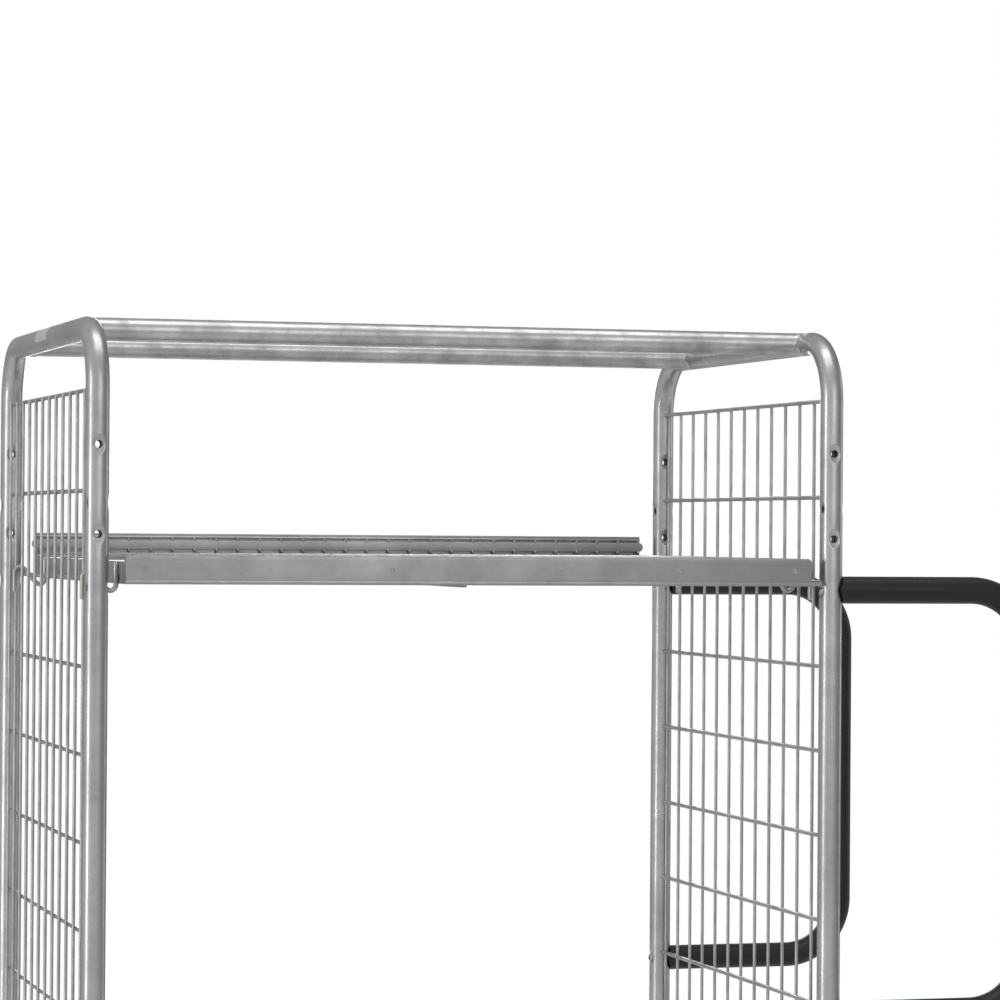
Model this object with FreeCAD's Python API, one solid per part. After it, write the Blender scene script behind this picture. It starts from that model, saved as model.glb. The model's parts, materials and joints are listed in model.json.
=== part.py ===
import FreeCAD, Part
import math
import os

os.makedirs("parts", exist_ok=True)

# Roll cage container with two mesh ends, two push handles, a hook-on wire shelf, a sheet deck
# and four castors. Millimetres, +Z up, origin on the floor at the centre of the whole outline.
# +X runs towards the handles and -Y is the loading front.

# Whole trolley
overall_height = 1650.0
frame_length = 873.0            # between post axes, along X
frame_depth = 623.0             # between post axes, along Y
weld_sink = 0.5                 # how far one welded wire sinks into the next

# End frames: one bent tube each
post_diameter = 27.0
post_wall = 2.0
corner_bend = 70.0              # centreline radius of the top corners
hole_diameter = 9.0
dimple_diameter = 17.0
dimple_depth = 1.2
face_hole_drops = (146.5, 246.5)            # front and rear holes, below the top
side_hole_drops = (211.5, 306.5, 806.5)     # end holes, below the top; the last two take the handles

# End meshes
upright_wire = 4.0
cross_wire = 5.0
uprights = 13
upright_offset = 3.0            # upright wire axis outside the post axis
upright_post_gap = 0.3          # outermost upright to post surface
first_cross_drop = 83.5         # first cross wire below the top
second_cross_drop = 197.5
cross_pitch = 100.0
cross_foot_gap = 20.0           # least gap under the lowest cross wire

# Top tubes
top_tube_diameter = 27.0
top_tube_wall = 2.0
front_tube_inset = 90.0         # from the front post axis
rear_tube_inset = 124.0         # from the rear post axis
coping_trim = 4.0               # feather edge taken off a saddle cut

# Base
rail_height = 40.0
rail_width = 20.0
rail_wall = 2.0
deck_thickness = 2.0
deck_flange = 18.0
deck_flange_gap = 0.3           # flange to rail face
deck_post_gap = 2.0             # notch edge to post surface
pad_thickness = 4.0

# Castors
wheel_diameter = 125.0
wheel_width = 32.0
wheel_crown_gap = 13.6          # top of the wheel to the fork crown
castor_inset_x = 62.0           # castor centre from the post axis
castor_inset_y = 52.0
plate_length = 105.0
plate_width = 85.0
plate_thickness = 4.0
plate_hole_x = 80.0
plate_hole_y = 60.0
plate_hole_diameter = 9.0
swivel_offset = 38.0            # wheel axis behind the swivel axis
fork_sheet = 3.0
fork_gap = 2.5                  # wheel face to fork leg
fork_eye_wall = 10.0            # leg sheet round the axle hole
bracket_root = 68.0             # width of a fixed leg at the plate
fork_root = 62.0                # width of a swivel leg at the crown
fork_root_setback = 13.0        # middle of that width behind the swivel axis
crown_back = 44.0               # crown edges from the swivel axis
crown_front = 18.0
crown_lip = 4.0                 # round crown past the race
axle_diameter = 12.0
bush_wall = 3.0
hub_diameter = 34.0
tyre_thickness = 13.5
tyre_shoulder = 6.0
web_thickness = 8.0
core_rim = 6.0
rim_inset = 2.0                 # rim face inside the tyre face
running_gap = 0.05              # radial, shaft in hole
face_gap = 0.4                  # axial, between turning faces
kingpin_diameter = 12.0
kingpin_head_lip = 5.0
kingpin_head_height = 5.0
race_diameter = 56.0
race_height = 9.0

# Brake pedals
pedal_width = 40.0
pedal_thickness = 3.0
pedal_pin_diameter = 6.0
pedal_pin_setback = 36.0        # behind the swivel axis
pedal_pin_drop = 6.0            # below the fork crown
pedal_eye_wall = 2.5
pedal_rise = 1.0                # underside of the arm above the pin axis
pedal_arm = 40.0
pedal_reach = 62.0              # end of the tread from the pin
tread_length = 24.0
shoe_near = 14.0                # brake shoe from the pin
shoe_far = 30.0
shoe_width = 24.0
shoe_depth = 5.0                # shoe below the pin axis
tread_ridges = 3
ridge_pitch = 7.0
ridge_width = 3.0
ridge_height = 1.0
ridge_margin = 4.0              # ridge ends inside the tread
ridge_start = 2.0               # first ridge inside the tread's edge

# Fasteners
bolt_diameter = 8.0
bolt_head_width = 13.0
bolt_head_height = 5.5
bolt_tail = 2.0                 # thread past the nut
socket_width = 5.0
nut_height = 6.5
axle_head_width = 17.0
axle_head_height = 7.0

# Push handles
handle_diameter = 32.0
handle_wall = 3.0
handle_reach = 253.5            # post axis to grip axis
handle_bend = 75.0
handle_mesh_gap = 0.5           # tip of the handle's saddle cut to the uprights
plug_length = 30.0
plug_gap = 0.05                 # radial, plug in the handle tube
plug_post_gap = 1.0             # plug end to post surface
plug_bolt_margin = 5.0          # bolt end inside the plug's end

# Shelf
shelf_rise = 27.5               # shelf surface above the mesh wire that it hangs on
shelf_left_gap = 17.5           # shelf end to the left posts' inner sides
shelf_right_gap = 15.0          # shelf end to the right posts' inner sides
shelf_face_inset = 1.0          # front and rear faces inside the posts' outer faces
shelf_sheet = 1.5
rail_face = 27.5                # flat height of the front rail
rail_flange = 14.0
rail_corner = 5.0
bead_diameter = 4.8
bead_proud = 1.0                # bead in front of the rail face
bead_reach = 13.0               # bead past the right end of the front rail
side_inset = 1.5                # side profile inside the rail ends
side_flange = 12.0
shelf_wire = 3.5
shelf_cross_wire = 4.0
back_wire = 3.0
shelf_wires = 29
first_wire_inset = 7.5          # first and last wire axes inside the rail ends
last_wire_inset = 3.5
shelf_cross_wires = 4
upstand_height = 24.0           # rear rail above the shelf surface
upstand_lip = 2.8               # top of the rear rail above the wire ends
upturn_bend = 6.0
strip_height = 12.0
strip_thickness = 2.0
strip_rise = 16.0               # strip top above the shelf surface
strip_reach = 3.0               # strip ends past the rear rail
stiffener_thickness = 4.0
stiffener_depth = 35.0
stiffener_shift = -11.0         # from the middle of the shelf

# Shelf hooks
hook_rod = 6.0
hook_bend = 6.5
hook_dip = 23.0                 # lower corner below the wire
hook_rest_gap = 0.3             # hook above its wire
hook_side_gap = 0.5             # finger outside the upright wires
hook_finger = 22.5              # finger tip below the wire
hook_wire = 2                   # index of the cross wire that carries the hooks

V = FreeCAD.Vector
X_AXIS = V(1, 0, 0)
Y_AXIS = V(0, 1, 0)
Z_AXIS = V(0, 0, 1)

# Places worked out from the sizes above
post_radius = post_diameter / 2
x_left = -(frame_length + handle_reach + handle_diameter / 2 - post_radius) / 2
x_right = x_left + frame_length
y_front = -frame_depth / 2
y_rear = frame_depth / 2
z_top = overall_height
z_bar = z_top - post_radius
z_axle = wheel_diameter / 2
z_crown = wheel_diameter + wheel_crown_gap
z_race = z_crown + fork_sheet + face_gap
z_plate = z_race + race_height
z_pad = z_plate + plate_thickness
z_rail = z_pad + pad_thickness
z_deck = z_rail + rail_height + deck_thickness
posts = [(x, y) for x in (x_left, x_right) for y in (y_front, y_rear)]
mesh_bottom = z_rail + rail_height
cross_room = z_top - second_cross_drop - mesh_bottom - cross_foot_gap
cross_drops = [first_cross_drop]
cross_drops += [second_cross_drop + cross_pitch * n for n in range(int(cross_room / cross_pitch) + 1)]
first_upright = y_front + post_radius + upright_post_gap + upright_wire / 2
upright_pitch = -2 * first_upright / (uprights - 1)


def box(x0, x1, y0, y1, z0, z1):
    return Part.makeBox(x1 - x0, y1 - y0, z1 - z0, V(x0, y0, z0))


def cylinder(start, axis, radius, length):
    return Part.makeCylinder(radius, length, start, axis)


def fuse(shapes):
    return shapes[0].multiFuse(shapes[1:]).removeSplitter()


def hexagon(start, axis, width, height):
    """A hexagonal head or nut, `width` across its flats."""
    corner = width / math.sqrt(3)
    points = [V(corner * math.cos(math.radians(60 * n)), corner * math.sin(math.radians(60 * n)), 0)
              for n in range(7)]
    prism = Part.Face(Part.makePolygon(points)).extrude(V(0, 0, height))
    prism.Placement = FreeCAD.Placement(start, FreeCAD.Rotation(Z_AXIS, axis))
    return prism


def bent_path(points, bend):
    """Straight runs joined by a tangent arc of radius `bend` at each inner point."""
    edges = []
    start = points[0]
    for before, corner, after in zip(points, points[1:], points[2:]):
        incoming = (corner - before).normalize()
        outgoing = (after - corner).normalize()
        half_turn = incoming.getAngle(outgoing) / 2
        setback = bend * math.tan(half_turn)
        arc_start = corner - incoming * setback
        arc_end = corner + outgoing * setback
        inward = (outgoing - incoming).normalize()
        arc_middle = corner + inward * (bend / math.cos(half_turn) - bend)
        edges.append(Part.LineSegment(start, arc_start).toShape())
        edges.append(Part.Arc(arc_start, arc_middle, arc_end).toShape())
        start = arc_end
    edges.append(Part.LineSegment(start, points[-1]).toShape())
    return Part.Wire(edges)


def bar_along(path, radius):
    first = path.Edges[0]
    start = first.valueAt(first.FirstParameter)
    direction = first.tangentAt(first.FirstParameter)
    section = Part.Face(Part.Wire(Part.makeCircle(radius, start, direction)))
    return path.makePipe(section)


def tube_along(path, radius, wall):
    return bar_along(path, radius).cut(bar_along(path, radius - wall))


def post_solid(x, y):
    """The full outside of a post, for copings and notches."""
    return cylinder(V(x, y, z_rail), Z_AXIS, post_radius, z_top - z_rail)


def dimpled_hole(x, y, z, axis):
    """A through hole with a dished seat on both sides of a post."""
    middle = V(x, y, z)
    tool = cylinder(middle - axis * post_diameter, axis, hole_diameter / 2, 2 * post_diameter)
    for side in (axis, axis * -1):
        seat = middle + side * (post_radius - dimple_depth)
        cone = Part.makeCone(hole_diameter / 2, dimple_diameter / 2, dimple_depth, seat, side)
        rim = cylinder(seat + side * dimple_depth, side, dimple_diameter / 2, post_radius)
        tool = tool.fuse([cone, rim])
    return tool


def end_frame(x):
    corners = [V(x, y_front, z_rail), V(x, y_front, z_bar), V(x, y_rear, z_bar), V(x, y_rear, z_rail)]
    frame = tube_along(bent_path(corners, corner_bend), post_radius, post_wall)
    for y in (y_front, y_rear):
        for drop in face_hole_drops:
            frame = frame.cut(dimpled_hole(x, y, z_top - drop, Y_AXIS))
        for drop in side_hole_drops:
            frame = frame.cut(dimpled_hole(x, y, z_top - drop, X_AXIS))
    return frame


def end_mesh(x, outward):
    """Uprights on the outer side, cross wires behind them, welded where they cross."""
    x_upright = x + outward * upright_offset
    x_cross = x_upright - outward * ((upright_wire + cross_wire) / 2 - weld_sink)
    height = z_top - first_cross_drop + cross_wire / 2 - mesh_bottom
    wires = [cylinder(V(x_upright, first_upright + upright_pitch * n, mesh_bottom), Z_AXIS,
                      upright_wire / 2, height)
             for n in range(uprights)]
    wires += [cylinder(V(x_cross, y_front, z_top - drop), Y_AXIS, cross_wire / 2, frame_depth)
              for drop in cross_drops]
    mesh = wires[0].multiFuse(wires[1:])
    return mesh.cut(post_solid(x, y_front)).cut(post_solid(x, y_rear))


def top_tube(y):
    length = frame_length - 2 * coping_trim
    start = V(x_left + coping_trim, y, z_bar)
    tube = cylinder(start, X_AXIS, top_tube_diameter / 2, length)
    tube = tube.cut(cylinder(start, X_AXIS, top_tube_diameter / 2 - top_tube_wall, length))
    for x in (x_left, x_right):
        tube = tube.cut(cylinder(V(x, y_front, z_bar), Y_AXIS, post_radius, frame_depth))
    return tube


def box_rail(x0, x1, y0, y1, along_x):
    """A rectangular tube on edge, open at both ends."""
    rail = box(x0, x1, y0, y1, z_rail, z_rail + rail_height)
    side = 0 if along_x else rail_wall
    front = rail_wall if along_x else 0
    hollow = box(x0 + side, x1 - side, y0 + front, y1 - front,
                 z_rail + rail_wall, z_rail + rail_height - rail_wall)
    rail = rail.cut(hollow)
    for x, y in posts:
        rail = rail.cut(post_solid(x, y))
    return rail


def base_rails():
    half = rail_width / 2
    middle = (x_left + x_right) / 2
    trim = coping_trim
    inner_front = y_front + half
    inner_rear = y_rear - half
    return {
        "base_rail_front": box_rail(x_left + trim, x_right - trim, y_front - half, y_front + half, True),
        "base_rail_rear": box_rail(x_left + trim, x_right - trim, y_rear - half, y_rear + half, True),
        "base_rail_left": box_rail(x_left - half, x_left + half, inner_front, inner_rear, False),
        "base_rail_right": box_rail(x_right - half, x_right + half, inner_front, inner_rear, False),
        "base_cross_rail": box_rail(middle - half, middle + half, inner_front, inner_rear, False),
    }


def deck():
    """A sheet with notched corners and its four edges turned down outside the rails."""
    reach = rail_width / 2 + deck_flange_gap + deck_thickness
    outer = box(x_left - reach, x_right + reach, y_front - reach, y_rear + reach,
                z_deck - deck_thickness - deck_flange, z_deck)
    inner_reach = reach - deck_thickness
    inside = box(x_left - inner_reach, x_right + inner_reach, y_front - inner_reach,
                 y_rear + inner_reach, z_deck - 2 * deck_thickness - deck_flange, z_deck - deck_thickness)
    sheet = outer.cut(inside)
    notch = post_radius + deck_post_gap
    for x, y in posts:
        sheet = sheet.cut(box(x - notch, x + notch, y - notch, y + notch, 0, z_deck + deck_thickness))
    for x, outward in ((x_left, -1), (x_right, 1)):
        sheet = sheet.cut(upright_slots(x, outward))
    return sheet


def upright_slots(x, outward):
    """The end edge of the deck, cut back to stay clear of the mesh uprights."""
    outer = x + outward * (rail_width / 2 + deck_flange_gap + 2 * deck_thickness)
    inner = x - outward * (post_radius + deck_post_gap)
    return box(min(inner, outer), max(inner, outer), y_front, y_rear, 0, z_deck + deck_thickness)


def castor_centres():
    """Name, centre and the direction from the centre to the nearest end, for each castor."""
    return [
        ("front_left", x_left + castor_inset_x, y_front + castor_inset_y, -1, -1),
        ("rear_left", x_left + castor_inset_x, y_rear - castor_inset_y, -1, 1),
        ("front_right", x_right - castor_inset_x, y_front + castor_inset_y, 1, -1),
        ("rear_right", x_right - castor_inset_x, y_rear - castor_inset_y, 1, 1),
    ]


def plate_holes(x, y):
    return [(x + sx * plate_hole_x / 2, y + sy * plate_hole_y / 2) for sx in (-1, 1) for sy in (-1, 1)]


def castor_pad(x, y, end, side):
    """A corner plate that closes the foot of the post and carries the castor."""
    edge_x = x + end * (castor_inset_x + post_radius)
    edge_y = y + side * (castor_inset_y + post_radius)
    inner_x = x - end * plate_length / 2
    inner_y = y - side * plate_width / 2
    pad = box(min(edge_x, inner_x), max(edge_x, inner_x), min(edge_y, inner_y), max(edge_y, inner_y),
              z_pad, z_rail)
    for hole_x, hole_y in plate_holes(x, y):
        pad = pad.cut(cylinder(V(hole_x, hole_y, 0), Z_AXIS, plate_hole_diameter / 2, z_deck))
    return pad


def castor_bolts():
    """Sixteen bolts, heads below the castor plates and nuts on the pads."""
    solids = []
    for name, x, y, end, side in castor_centres():
        for hole_x, hole_y in plate_holes(x, y):
            bolt = cylinder(V(hole_x, hole_y, z_plate), Z_AXIS, bolt_diameter / 2,
                            plate_thickness + pad_thickness + nut_height + bolt_tail)
            cap = hexagon(V(hole_x, hole_y, z_plate - bolt_head_height), Z_AXIS,
                          bolt_head_width, bolt_head_height)
            nut = hexagon(V(hole_x, hole_y, z_rail), Z_AXIS, bolt_head_width, nut_height)
            solids.append(fuse([bolt, cap, nut]))
    return Part.makeCompound(solids)


def castor_plate(x, y):
    plate = box(x - plate_length / 2, x + plate_length / 2, y - plate_width / 2, y + plate_width / 2,
                z_plate, z_pad)
    for hole_x, hole_y in plate_holes(x, y):
        plate = plate.cut(cylinder(V(hole_x, hole_y, 0), Z_AXIS, plate_hole_diameter / 2, z_deck))
    return plate


def fork_legs(axle_x, y, root_x, root_z, root_width):
    """Two sheet legs that taper from their root to a round eye about the axle."""
    lug = axle_diameter / 2 + fork_eye_wall
    lean = math.atan2(root_x - axle_x, root_z - z_axle)
    legs = []
    for low in (y - wheel_width / 2 - fork_gap - fork_sheet, y + wheel_width / 2 + fork_gap):
        profile = [
            V(axle_x - lug * math.cos(lean), low, z_axle + lug * math.sin(lean)),
            V(root_x - root_width / 2, low, root_z),
            V(root_x + root_width / 2, low, root_z),
            V(axle_x + lug * math.cos(lean), low, z_axle - lug * math.sin(lean)),
        ]
        leg = Part.Face(Part.makePolygon(profile + profile[:1])).extrude(V(0, fork_sheet, 0))
        eye = cylinder(V(axle_x, low, z_axle), Y_AXIS, lug, fork_sheet)
        legs.append(leg.fuse(eye))
    return legs


def cross_bore(x, y, z, diameter):
    """A bore along Y through both legs of a fork."""
    return cylinder(V(x, y - 2 * wheel_width, z), Y_AXIS, diameter / 2, 4 * wheel_width)


def fixed_bracket(x, y):
    legs = fork_legs(x, y, x, z_plate, bracket_root)
    return fuse([castor_plate(x, y)] + legs).cut(cross_bore(x, y, z_axle, axle_diameter))


def swivel_plate(x, y):
    """Bolt plate and upper race, riveted into one piece."""
    race = cylinder(V(x, y, z_race), Z_AXIS, race_diameter / 2, race_height)
    return fuse([castor_plate(x, y), race])


def king_pin(x, y):
    """The pin hangs from the race and holds the fork crown up with its head."""
    shank = face_gap + fork_sheet + face_gap
    pin = cylinder(V(x, y, z_race - shank), Z_AXIS, kingpin_diameter / 2, shank)
    head = cylinder(V(x, y, z_race - shank - kingpin_head_height), Z_AXIS,
                    kingpin_diameter / 2 + kingpin_head_lip, kingpin_head_height)
    return fuse([pin, head])


def pedal_pin_place(x):
    """The pedal pin's X and Z, at the back of the fork above the wheel."""
    return x - pedal_pin_setback, z_crown - pedal_pin_drop


def swivel_fork(x, y):
    """Pressed fork: a round crown under the race and two trailing legs."""
    axle_x = x - swivel_offset
    half_width = wheel_width / 2 + fork_gap + fork_sheet
    crown = cylinder(V(x, y, z_crown), Z_AXIS, race_diameter / 2 + crown_lip, fork_sheet)
    bridge = box(x - crown_back, x + crown_front, y - half_width, y + half_width,
                 z_crown, z_crown + fork_sheet)
    legs = fork_legs(axle_x, y, x - fork_root_setback, z_crown, fork_root)
    bore = cylinder(V(x, y, 0), Z_AXIS, kingpin_diameter / 2 + running_gap, z_pad)
    pin_x, pin_z = pedal_pin_place(x)
    fork = fuse([crown, bridge] + legs).cut(bore)
    fork = fork.cut(cross_bore(axle_x, y, z_axle, axle_diameter))
    return fork.cut(cross_bore(pin_x, y, pin_z, pedal_pin_diameter))


def tube(start, length, outer, inner):
    return cylinder(start, Y_AXIS, outer, length).cut(cylinder(start, Y_AXIS, inner, length))


def wheel_parts(axle_x, y):
    """Axle bolt, bush, wheel centre and tyre on the axle line."""
    half = wheel_width / 2
    leg_outer = half + fork_gap + fork_sheet
    bore = axle_diameter / 2 + running_gap
    bush_outer = bore + bush_wall
    bush_half = half + fork_gap - face_gap
    rim_half = half - rim_inset
    core = wheel_diameter / 2 - tyre_thickness

    def centred(half_length, outer, inner):
        return tube(V(axle_x, y - half_length, z_axle), 2 * half_length, outer, inner)

    axle = cylinder(V(axle_x, y - leg_outer, z_axle), Y_AXIS, axle_diameter / 2, 2 * leg_outer)
    head = hexagon(V(axle_x, y - leg_outer - axle_head_height, z_axle), Y_AXIS,
                   axle_head_width, axle_head_height)
    nut = hexagon(V(axle_x, y + leg_outer, z_axle), Y_AXIS, axle_head_width, axle_head_height)
    hub = centred(half, hub_diameter / 2, bush_outer)
    web = centred(web_thickness / 2, core, bush_outer)
    rim = centred(rim_half, core, core - core_rim)
    tyre = centred(half, wheel_diameter / 2, core)
    shoulders = [edge for edge in tyre.Edges if edge.Length > math.pi * (wheel_diameter - tyre_thickness)]
    return {
        "axle": fuse([axle, head, nut]),
        "bush": centred(bush_half, bush_outer, bore),
        "wheel_centre": fuse([hub, web, rim]),
        "tyre": tyre.makeFillet(tyre_shoulder, shoulders),
    }


def brake_pedal(x, y):
    """A lever between the fork legs: pin, shoe over the tyre and ridged tread past the fork."""
    pin_x, pin_z = pedal_pin_place(x)
    half = wheel_width / 2 + fork_gap - face_gap
    underside = pin_z + pedal_rise
    top = underside + pedal_thickness
    tread_back = pin_x - pedal_reach
    leg_outer = wheel_width / 2 + fork_gap + fork_sheet
    pin = cylinder(V(pin_x, y - leg_outer, pin_z), Y_AXIS, pedal_pin_diameter / 2 - running_gap,
                   2 * leg_outer)
    eye = cylinder(V(pin_x, y - half, pin_z), Y_AXIS, pedal_pin_diameter / 2 + pedal_eye_wall, 2 * half)
    arm = box(pin_x - pedal_arm, pin_x, y - half, y + half, underside, top)
    tread = box(tread_back, tread_back + tread_length, y - pedal_width / 2, y + pedal_width / 2,
                underside, top)
    shoe = box(pin_x - shoe_far, pin_x - shoe_near, y - shoe_width / 2, y + shoe_width / 2,
               pin_z - shoe_depth, underside)
    ridge_half = pedal_width / 2 - ridge_margin
    ridge_starts = [tread_back + ridge_start + ridge_pitch * n for n in range(tread_ridges)]
    ridges = [box(start, start + ridge_width, y - ridge_half, y + ridge_half, top, top + ridge_height)
              for start in ridge_starts]
    return fuse([pin, eye, arm, tread, shoe] + ridges)


def push_handle(y):
    upper = z_top - side_hole_drops[1]
    lower = z_top - side_hole_drops[2]
    start = x_right + upright_offset + upright_wire / 2 + handle_mesh_gap
    grip = x_right + handle_reach
    corners = [V(start, y, upper), V(grip, y, upper), V(grip, y, lower), V(start, y, lower)]
    handle = tube_along(bent_path(corners, handle_bend), handle_diameter / 2, handle_wall)
    return handle.cut(post_solid(x_right, y))


def handle_plugs(y):
    """Threaded plugs pressed into the two ends of a handle."""
    radius = handle_diameter / 2 - handle_wall - plug_gap
    start = x_right + post_radius + plug_post_gap
    plugs = []
    for drop in side_hole_drops[1:]:
        plug = cylinder(V(start, y, z_top - drop), X_AXIS, radius, plug_length)
        plugs.append(plug.cut(cylinder(V(start, y, z_top - drop), X_AXIS, bolt_diameter / 2, plug_length)))
    return Part.makeCompound(plugs)


def handle_bolts(y):
    """Bolts from inside the cage, through the post and into the plugs."""
    bolts = []
    head_sink = dimple_depth * (dimple_diameter - bolt_head_width) / (dimple_diameter - hole_diameter)
    seat = x_right - post_radius + head_sink
    plug_end = x_right + post_radius + plug_post_gap + plug_length
    for drop in side_hole_drops[1:]:
        z = z_top - drop
        shank = cylinder(V(seat, y, z), X_AXIS, bolt_diameter / 2, plug_end - plug_bolt_margin - seat)
        head = cylinder(V(seat - bolt_head_height, y, z), X_AXIS, bolt_head_width / 2, bolt_head_height)
        socket = hexagon(V(seat - bolt_head_height, y, z), X_AXIS, socket_width, bolt_head_height / 2)
        bolts.append(shank.fuse(head).cut(socket))
    return Part.makeCompound(bolts)


# Shelf places
z_hang = z_top - cross_drops[hook_wire]
z_shelf = z_hang + shelf_rise
z_underside = z_shelf - shelf_wire
z_flange = z_underside - shelf_cross_wire + weld_sink
z_upstand = z_shelf + upstand_height
shelf_left = x_left + post_radius + shelf_left_gap
shelf_right = x_right - post_radius - shelf_right_gap
shelf_front = y_front - post_radius + shelf_face_inset
shelf_rear = y_rear + post_radius - shelf_face_inset
side_front = shelf_front + rail_flange
side_rear = shelf_rear - rail_flange
y_upturn = shelf_rear - shelf_sheet - shelf_wire / 2
bead_centre = z_shelf - rail_face - bead_diameter / 2


def long_flange(y0, y1):
    """The flange of a shelf rail that lies under the wires."""
    return box(shelf_left + side_inset, shelf_right - side_inset, y0, y1,
               z_underside - shelf_sheet, z_underside)


def round_top_corners(face, top):
    corners = [edge for edge in face.Edges if abs(edge.Length - shelf_sheet) < shelf_sheet / 10
               and edge.CenterOfMass.z > top - shelf_sheet / 2]
    return face.makeFillet(rail_corner, corners)


def shelf_front_rail():
    """Flat face for labels, a flange under the wires and a rolled bead along the bottom."""
    face = box(shelf_left, shelf_right, shelf_front, shelf_front + shelf_sheet,
               bead_centre, z_shelf)
    bead = cylinder(V(shelf_left, shelf_front + bead_diameter / 2 - bead_proud, bead_centre), X_AXIS,
                    bead_diameter / 2, shelf_right - shelf_left + bead_reach)
    flange = long_flange(shelf_front, side_front)
    return fuse([round_top_corners(face, z_shelf), flange, bead])


def shelf_rear_rail():
    """The upstand behind the wires, with the same flange under them."""
    face = box(shelf_left, shelf_right, shelf_rear - shelf_sheet, shelf_rear,
               z_underside - shelf_sheet, z_upstand)
    return fuse([face, long_flange(side_rear, shelf_rear)])


def shelf_side(x, inward):
    """Side profile from rail to rail: a flat web, a bottom flange turned inwards, and an ear at
    each end that meets the flange of the rail."""
    web_x = x + inward * side_inset
    web_inner = web_x + inward * shelf_sheet
    foot_inner = web_x + inward * side_flange
    x0, x1 = sorted((web_x, web_inner))
    low = bead_centre - bead_diameter / 2
    front = shelf_front + bead_diameter - bead_proud
    web = box(x0, x1, front, shelf_rear, low, z_flange)
    ears = [box(x0, x1, y0, y1, z_flange, z_underside - shelf_sheet)
            for y0, y1 in ((front, side_front), (side_rear, shelf_rear))]
    foot = box(min(web_x, foot_inner), max(web_x, foot_inner), side_front, side_rear,
               low, low + shelf_sheet)
    return fuse([web, foot] + ears)


def shelf_mesh():
    """Wires along Y, turned up before the rear rail, on cross wires along X."""
    z_wire = z_shelf - shelf_wire / 2
    first = shelf_left + first_wire_inset
    pitch = (shelf_right - last_wire_inset - first) / (shelf_wires - 1)
    wires = []
    for n in range(shelf_wires):
        x = first + n * pitch
        points = [V(x, shelf_front + shelf_sheet, z_wire), V(x, y_upturn, z_wire),
                  V(x, y_upturn, z_upstand - upstand_lip)]
        wires.append(bar_along(bent_path(points, upturn_bend), shelf_wire / 2))
    z_cross = z_wire - (shelf_wire + shelf_cross_wire) / 2 + weld_sink
    start = shelf_left + side_inset
    length = shelf_right - shelf_left - 2 * side_inset
    y_first = side_front + shelf_cross_wire
    step = (side_rear - shelf_cross_wire - y_first) / (shelf_cross_wires - 1)
    for n in range(shelf_cross_wires):
        wires.append(cylinder(V(start, y_first + n * step, z_cross), X_AXIS, shelf_cross_wire / 2, length))
    y_back = y_upturn - (shelf_wire + back_wire) / 2 + weld_sink
    z_back = z_upstand - upstand_lip - back_wire / 2
    wires.append(cylinder(V(start, y_back, z_back), X_AXIS, back_wire / 2, length))
    return wires[0].multiFuse(wires[1:])


def shelf_rear_strip():
    """Flat strip with round ends, welded in front of the upturned wires."""
    radius = strip_height / 2
    z_middle = z_shelf + strip_rise - radius
    front = y_upturn - shelf_wire / 2 - strip_thickness
    x0 = shelf_left - strip_reach + radius
    x1 = shelf_right + strip_reach - radius
    strip = box(x0, x1, front, front + strip_thickness, z_middle - radius, z_middle + radius)
    ends = [cylinder(V(x, front, z_middle), Y_AXIS, radius, strip_thickness) for x in (x0, x1)]
    return fuse([strip] + ends)


def shelf_stiffener():
    middle = (shelf_left + shelf_right) / 2 + stiffener_shift
    return box(middle - stiffener_thickness / 2, middle + stiffener_thickness / 2,
               side_front, side_rear, z_shelf - stiffener_depth, z_flange)


def shelf_hook(x, outward, y, side_x):
    """A rod from the side profile, under it, up over the mesh wire and down outside the mesh."""
    x_wire = x + outward * (upright_offset - (upright_wire + cross_wire) / 2 + weld_sink)
    finger_x = x + outward * (upright_offset + upright_wire / 2 + hook_side_gap + hook_rod / 2)
    leg_x = side_x + outward * hook_rod / 2
    clear = (hook_rod + cross_wire) / 2 + hook_rest_gap
    reach = abs(leg_x - x_wire)
    slope = math.atan2(hook_dip, reach) + math.asin(clear / math.hypot(hook_dip, reach))
    z_low = z_hang - hook_dip
    z_high = z_low + abs(finger_x - leg_x) * math.tan(slope)
    points = [V(finger_x, y, z_hang - hook_finger), V(finger_x, y, z_high),
              V(leg_x, y, z_low), V(leg_x, y, z_flange)]
    return bar_along(bent_path(points, hook_bend), hook_rod / 2)


def shelf_hooks():
    """Left hooks in the first and the last bay but one, right hooks the other way round."""
    near = first_upright + upright_pitch / 2
    far = -first_upright - 3 * upright_pitch / 2
    left = shelf_left + side_inset
    right = shelf_right - side_inset
    return {
        "hook_front_left": shelf_hook(x_left, -1, near, left),
        "hook_rear_left": shelf_hook(x_left, -1, far, left),
        "hook_front_right": shelf_hook(x_right, 1, -far, right),
        "hook_rear_right": shelf_hook(x_right, 1, -near, right),
    }


nodes = {
    "left_end_frame": end_frame(x_left),
    "right_end_frame": end_frame(x_right),
    "left_end_mesh": end_mesh(x_left, -1),
    "right_end_mesh": end_mesh(x_right, 1),
    "top_tube_front": top_tube(y_front + front_tube_inset),
    "top_tube_rear": top_tube(y_rear - rear_tube_inset),
    "deck": deck(),
    "castor_bolts": castor_bolts(),
    "shelf_front_rail": shelf_front_rail(),
    "shelf_rear_rail": shelf_rear_rail(),
    "shelf_left_side": shelf_side(shelf_left, 1),
    "shelf_right_side": shelf_side(shelf_right, -1),
    "shelf_mesh": shelf_mesh(),
    "shelf_rear_strip": shelf_rear_strip(),
    "shelf_stiffener": shelf_stiffener(),
}
nodes.update(base_rails())
nodes.update(shelf_hooks())
for name, y in (("front", y_front), ("rear", y_rear)):
    nodes["push_handle_" + name] = push_handle(y)
    nodes["handle_plugs_" + name] = handle_plugs(y)
    nodes["handle_bolts_" + name] = handle_bolts(y)
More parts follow.
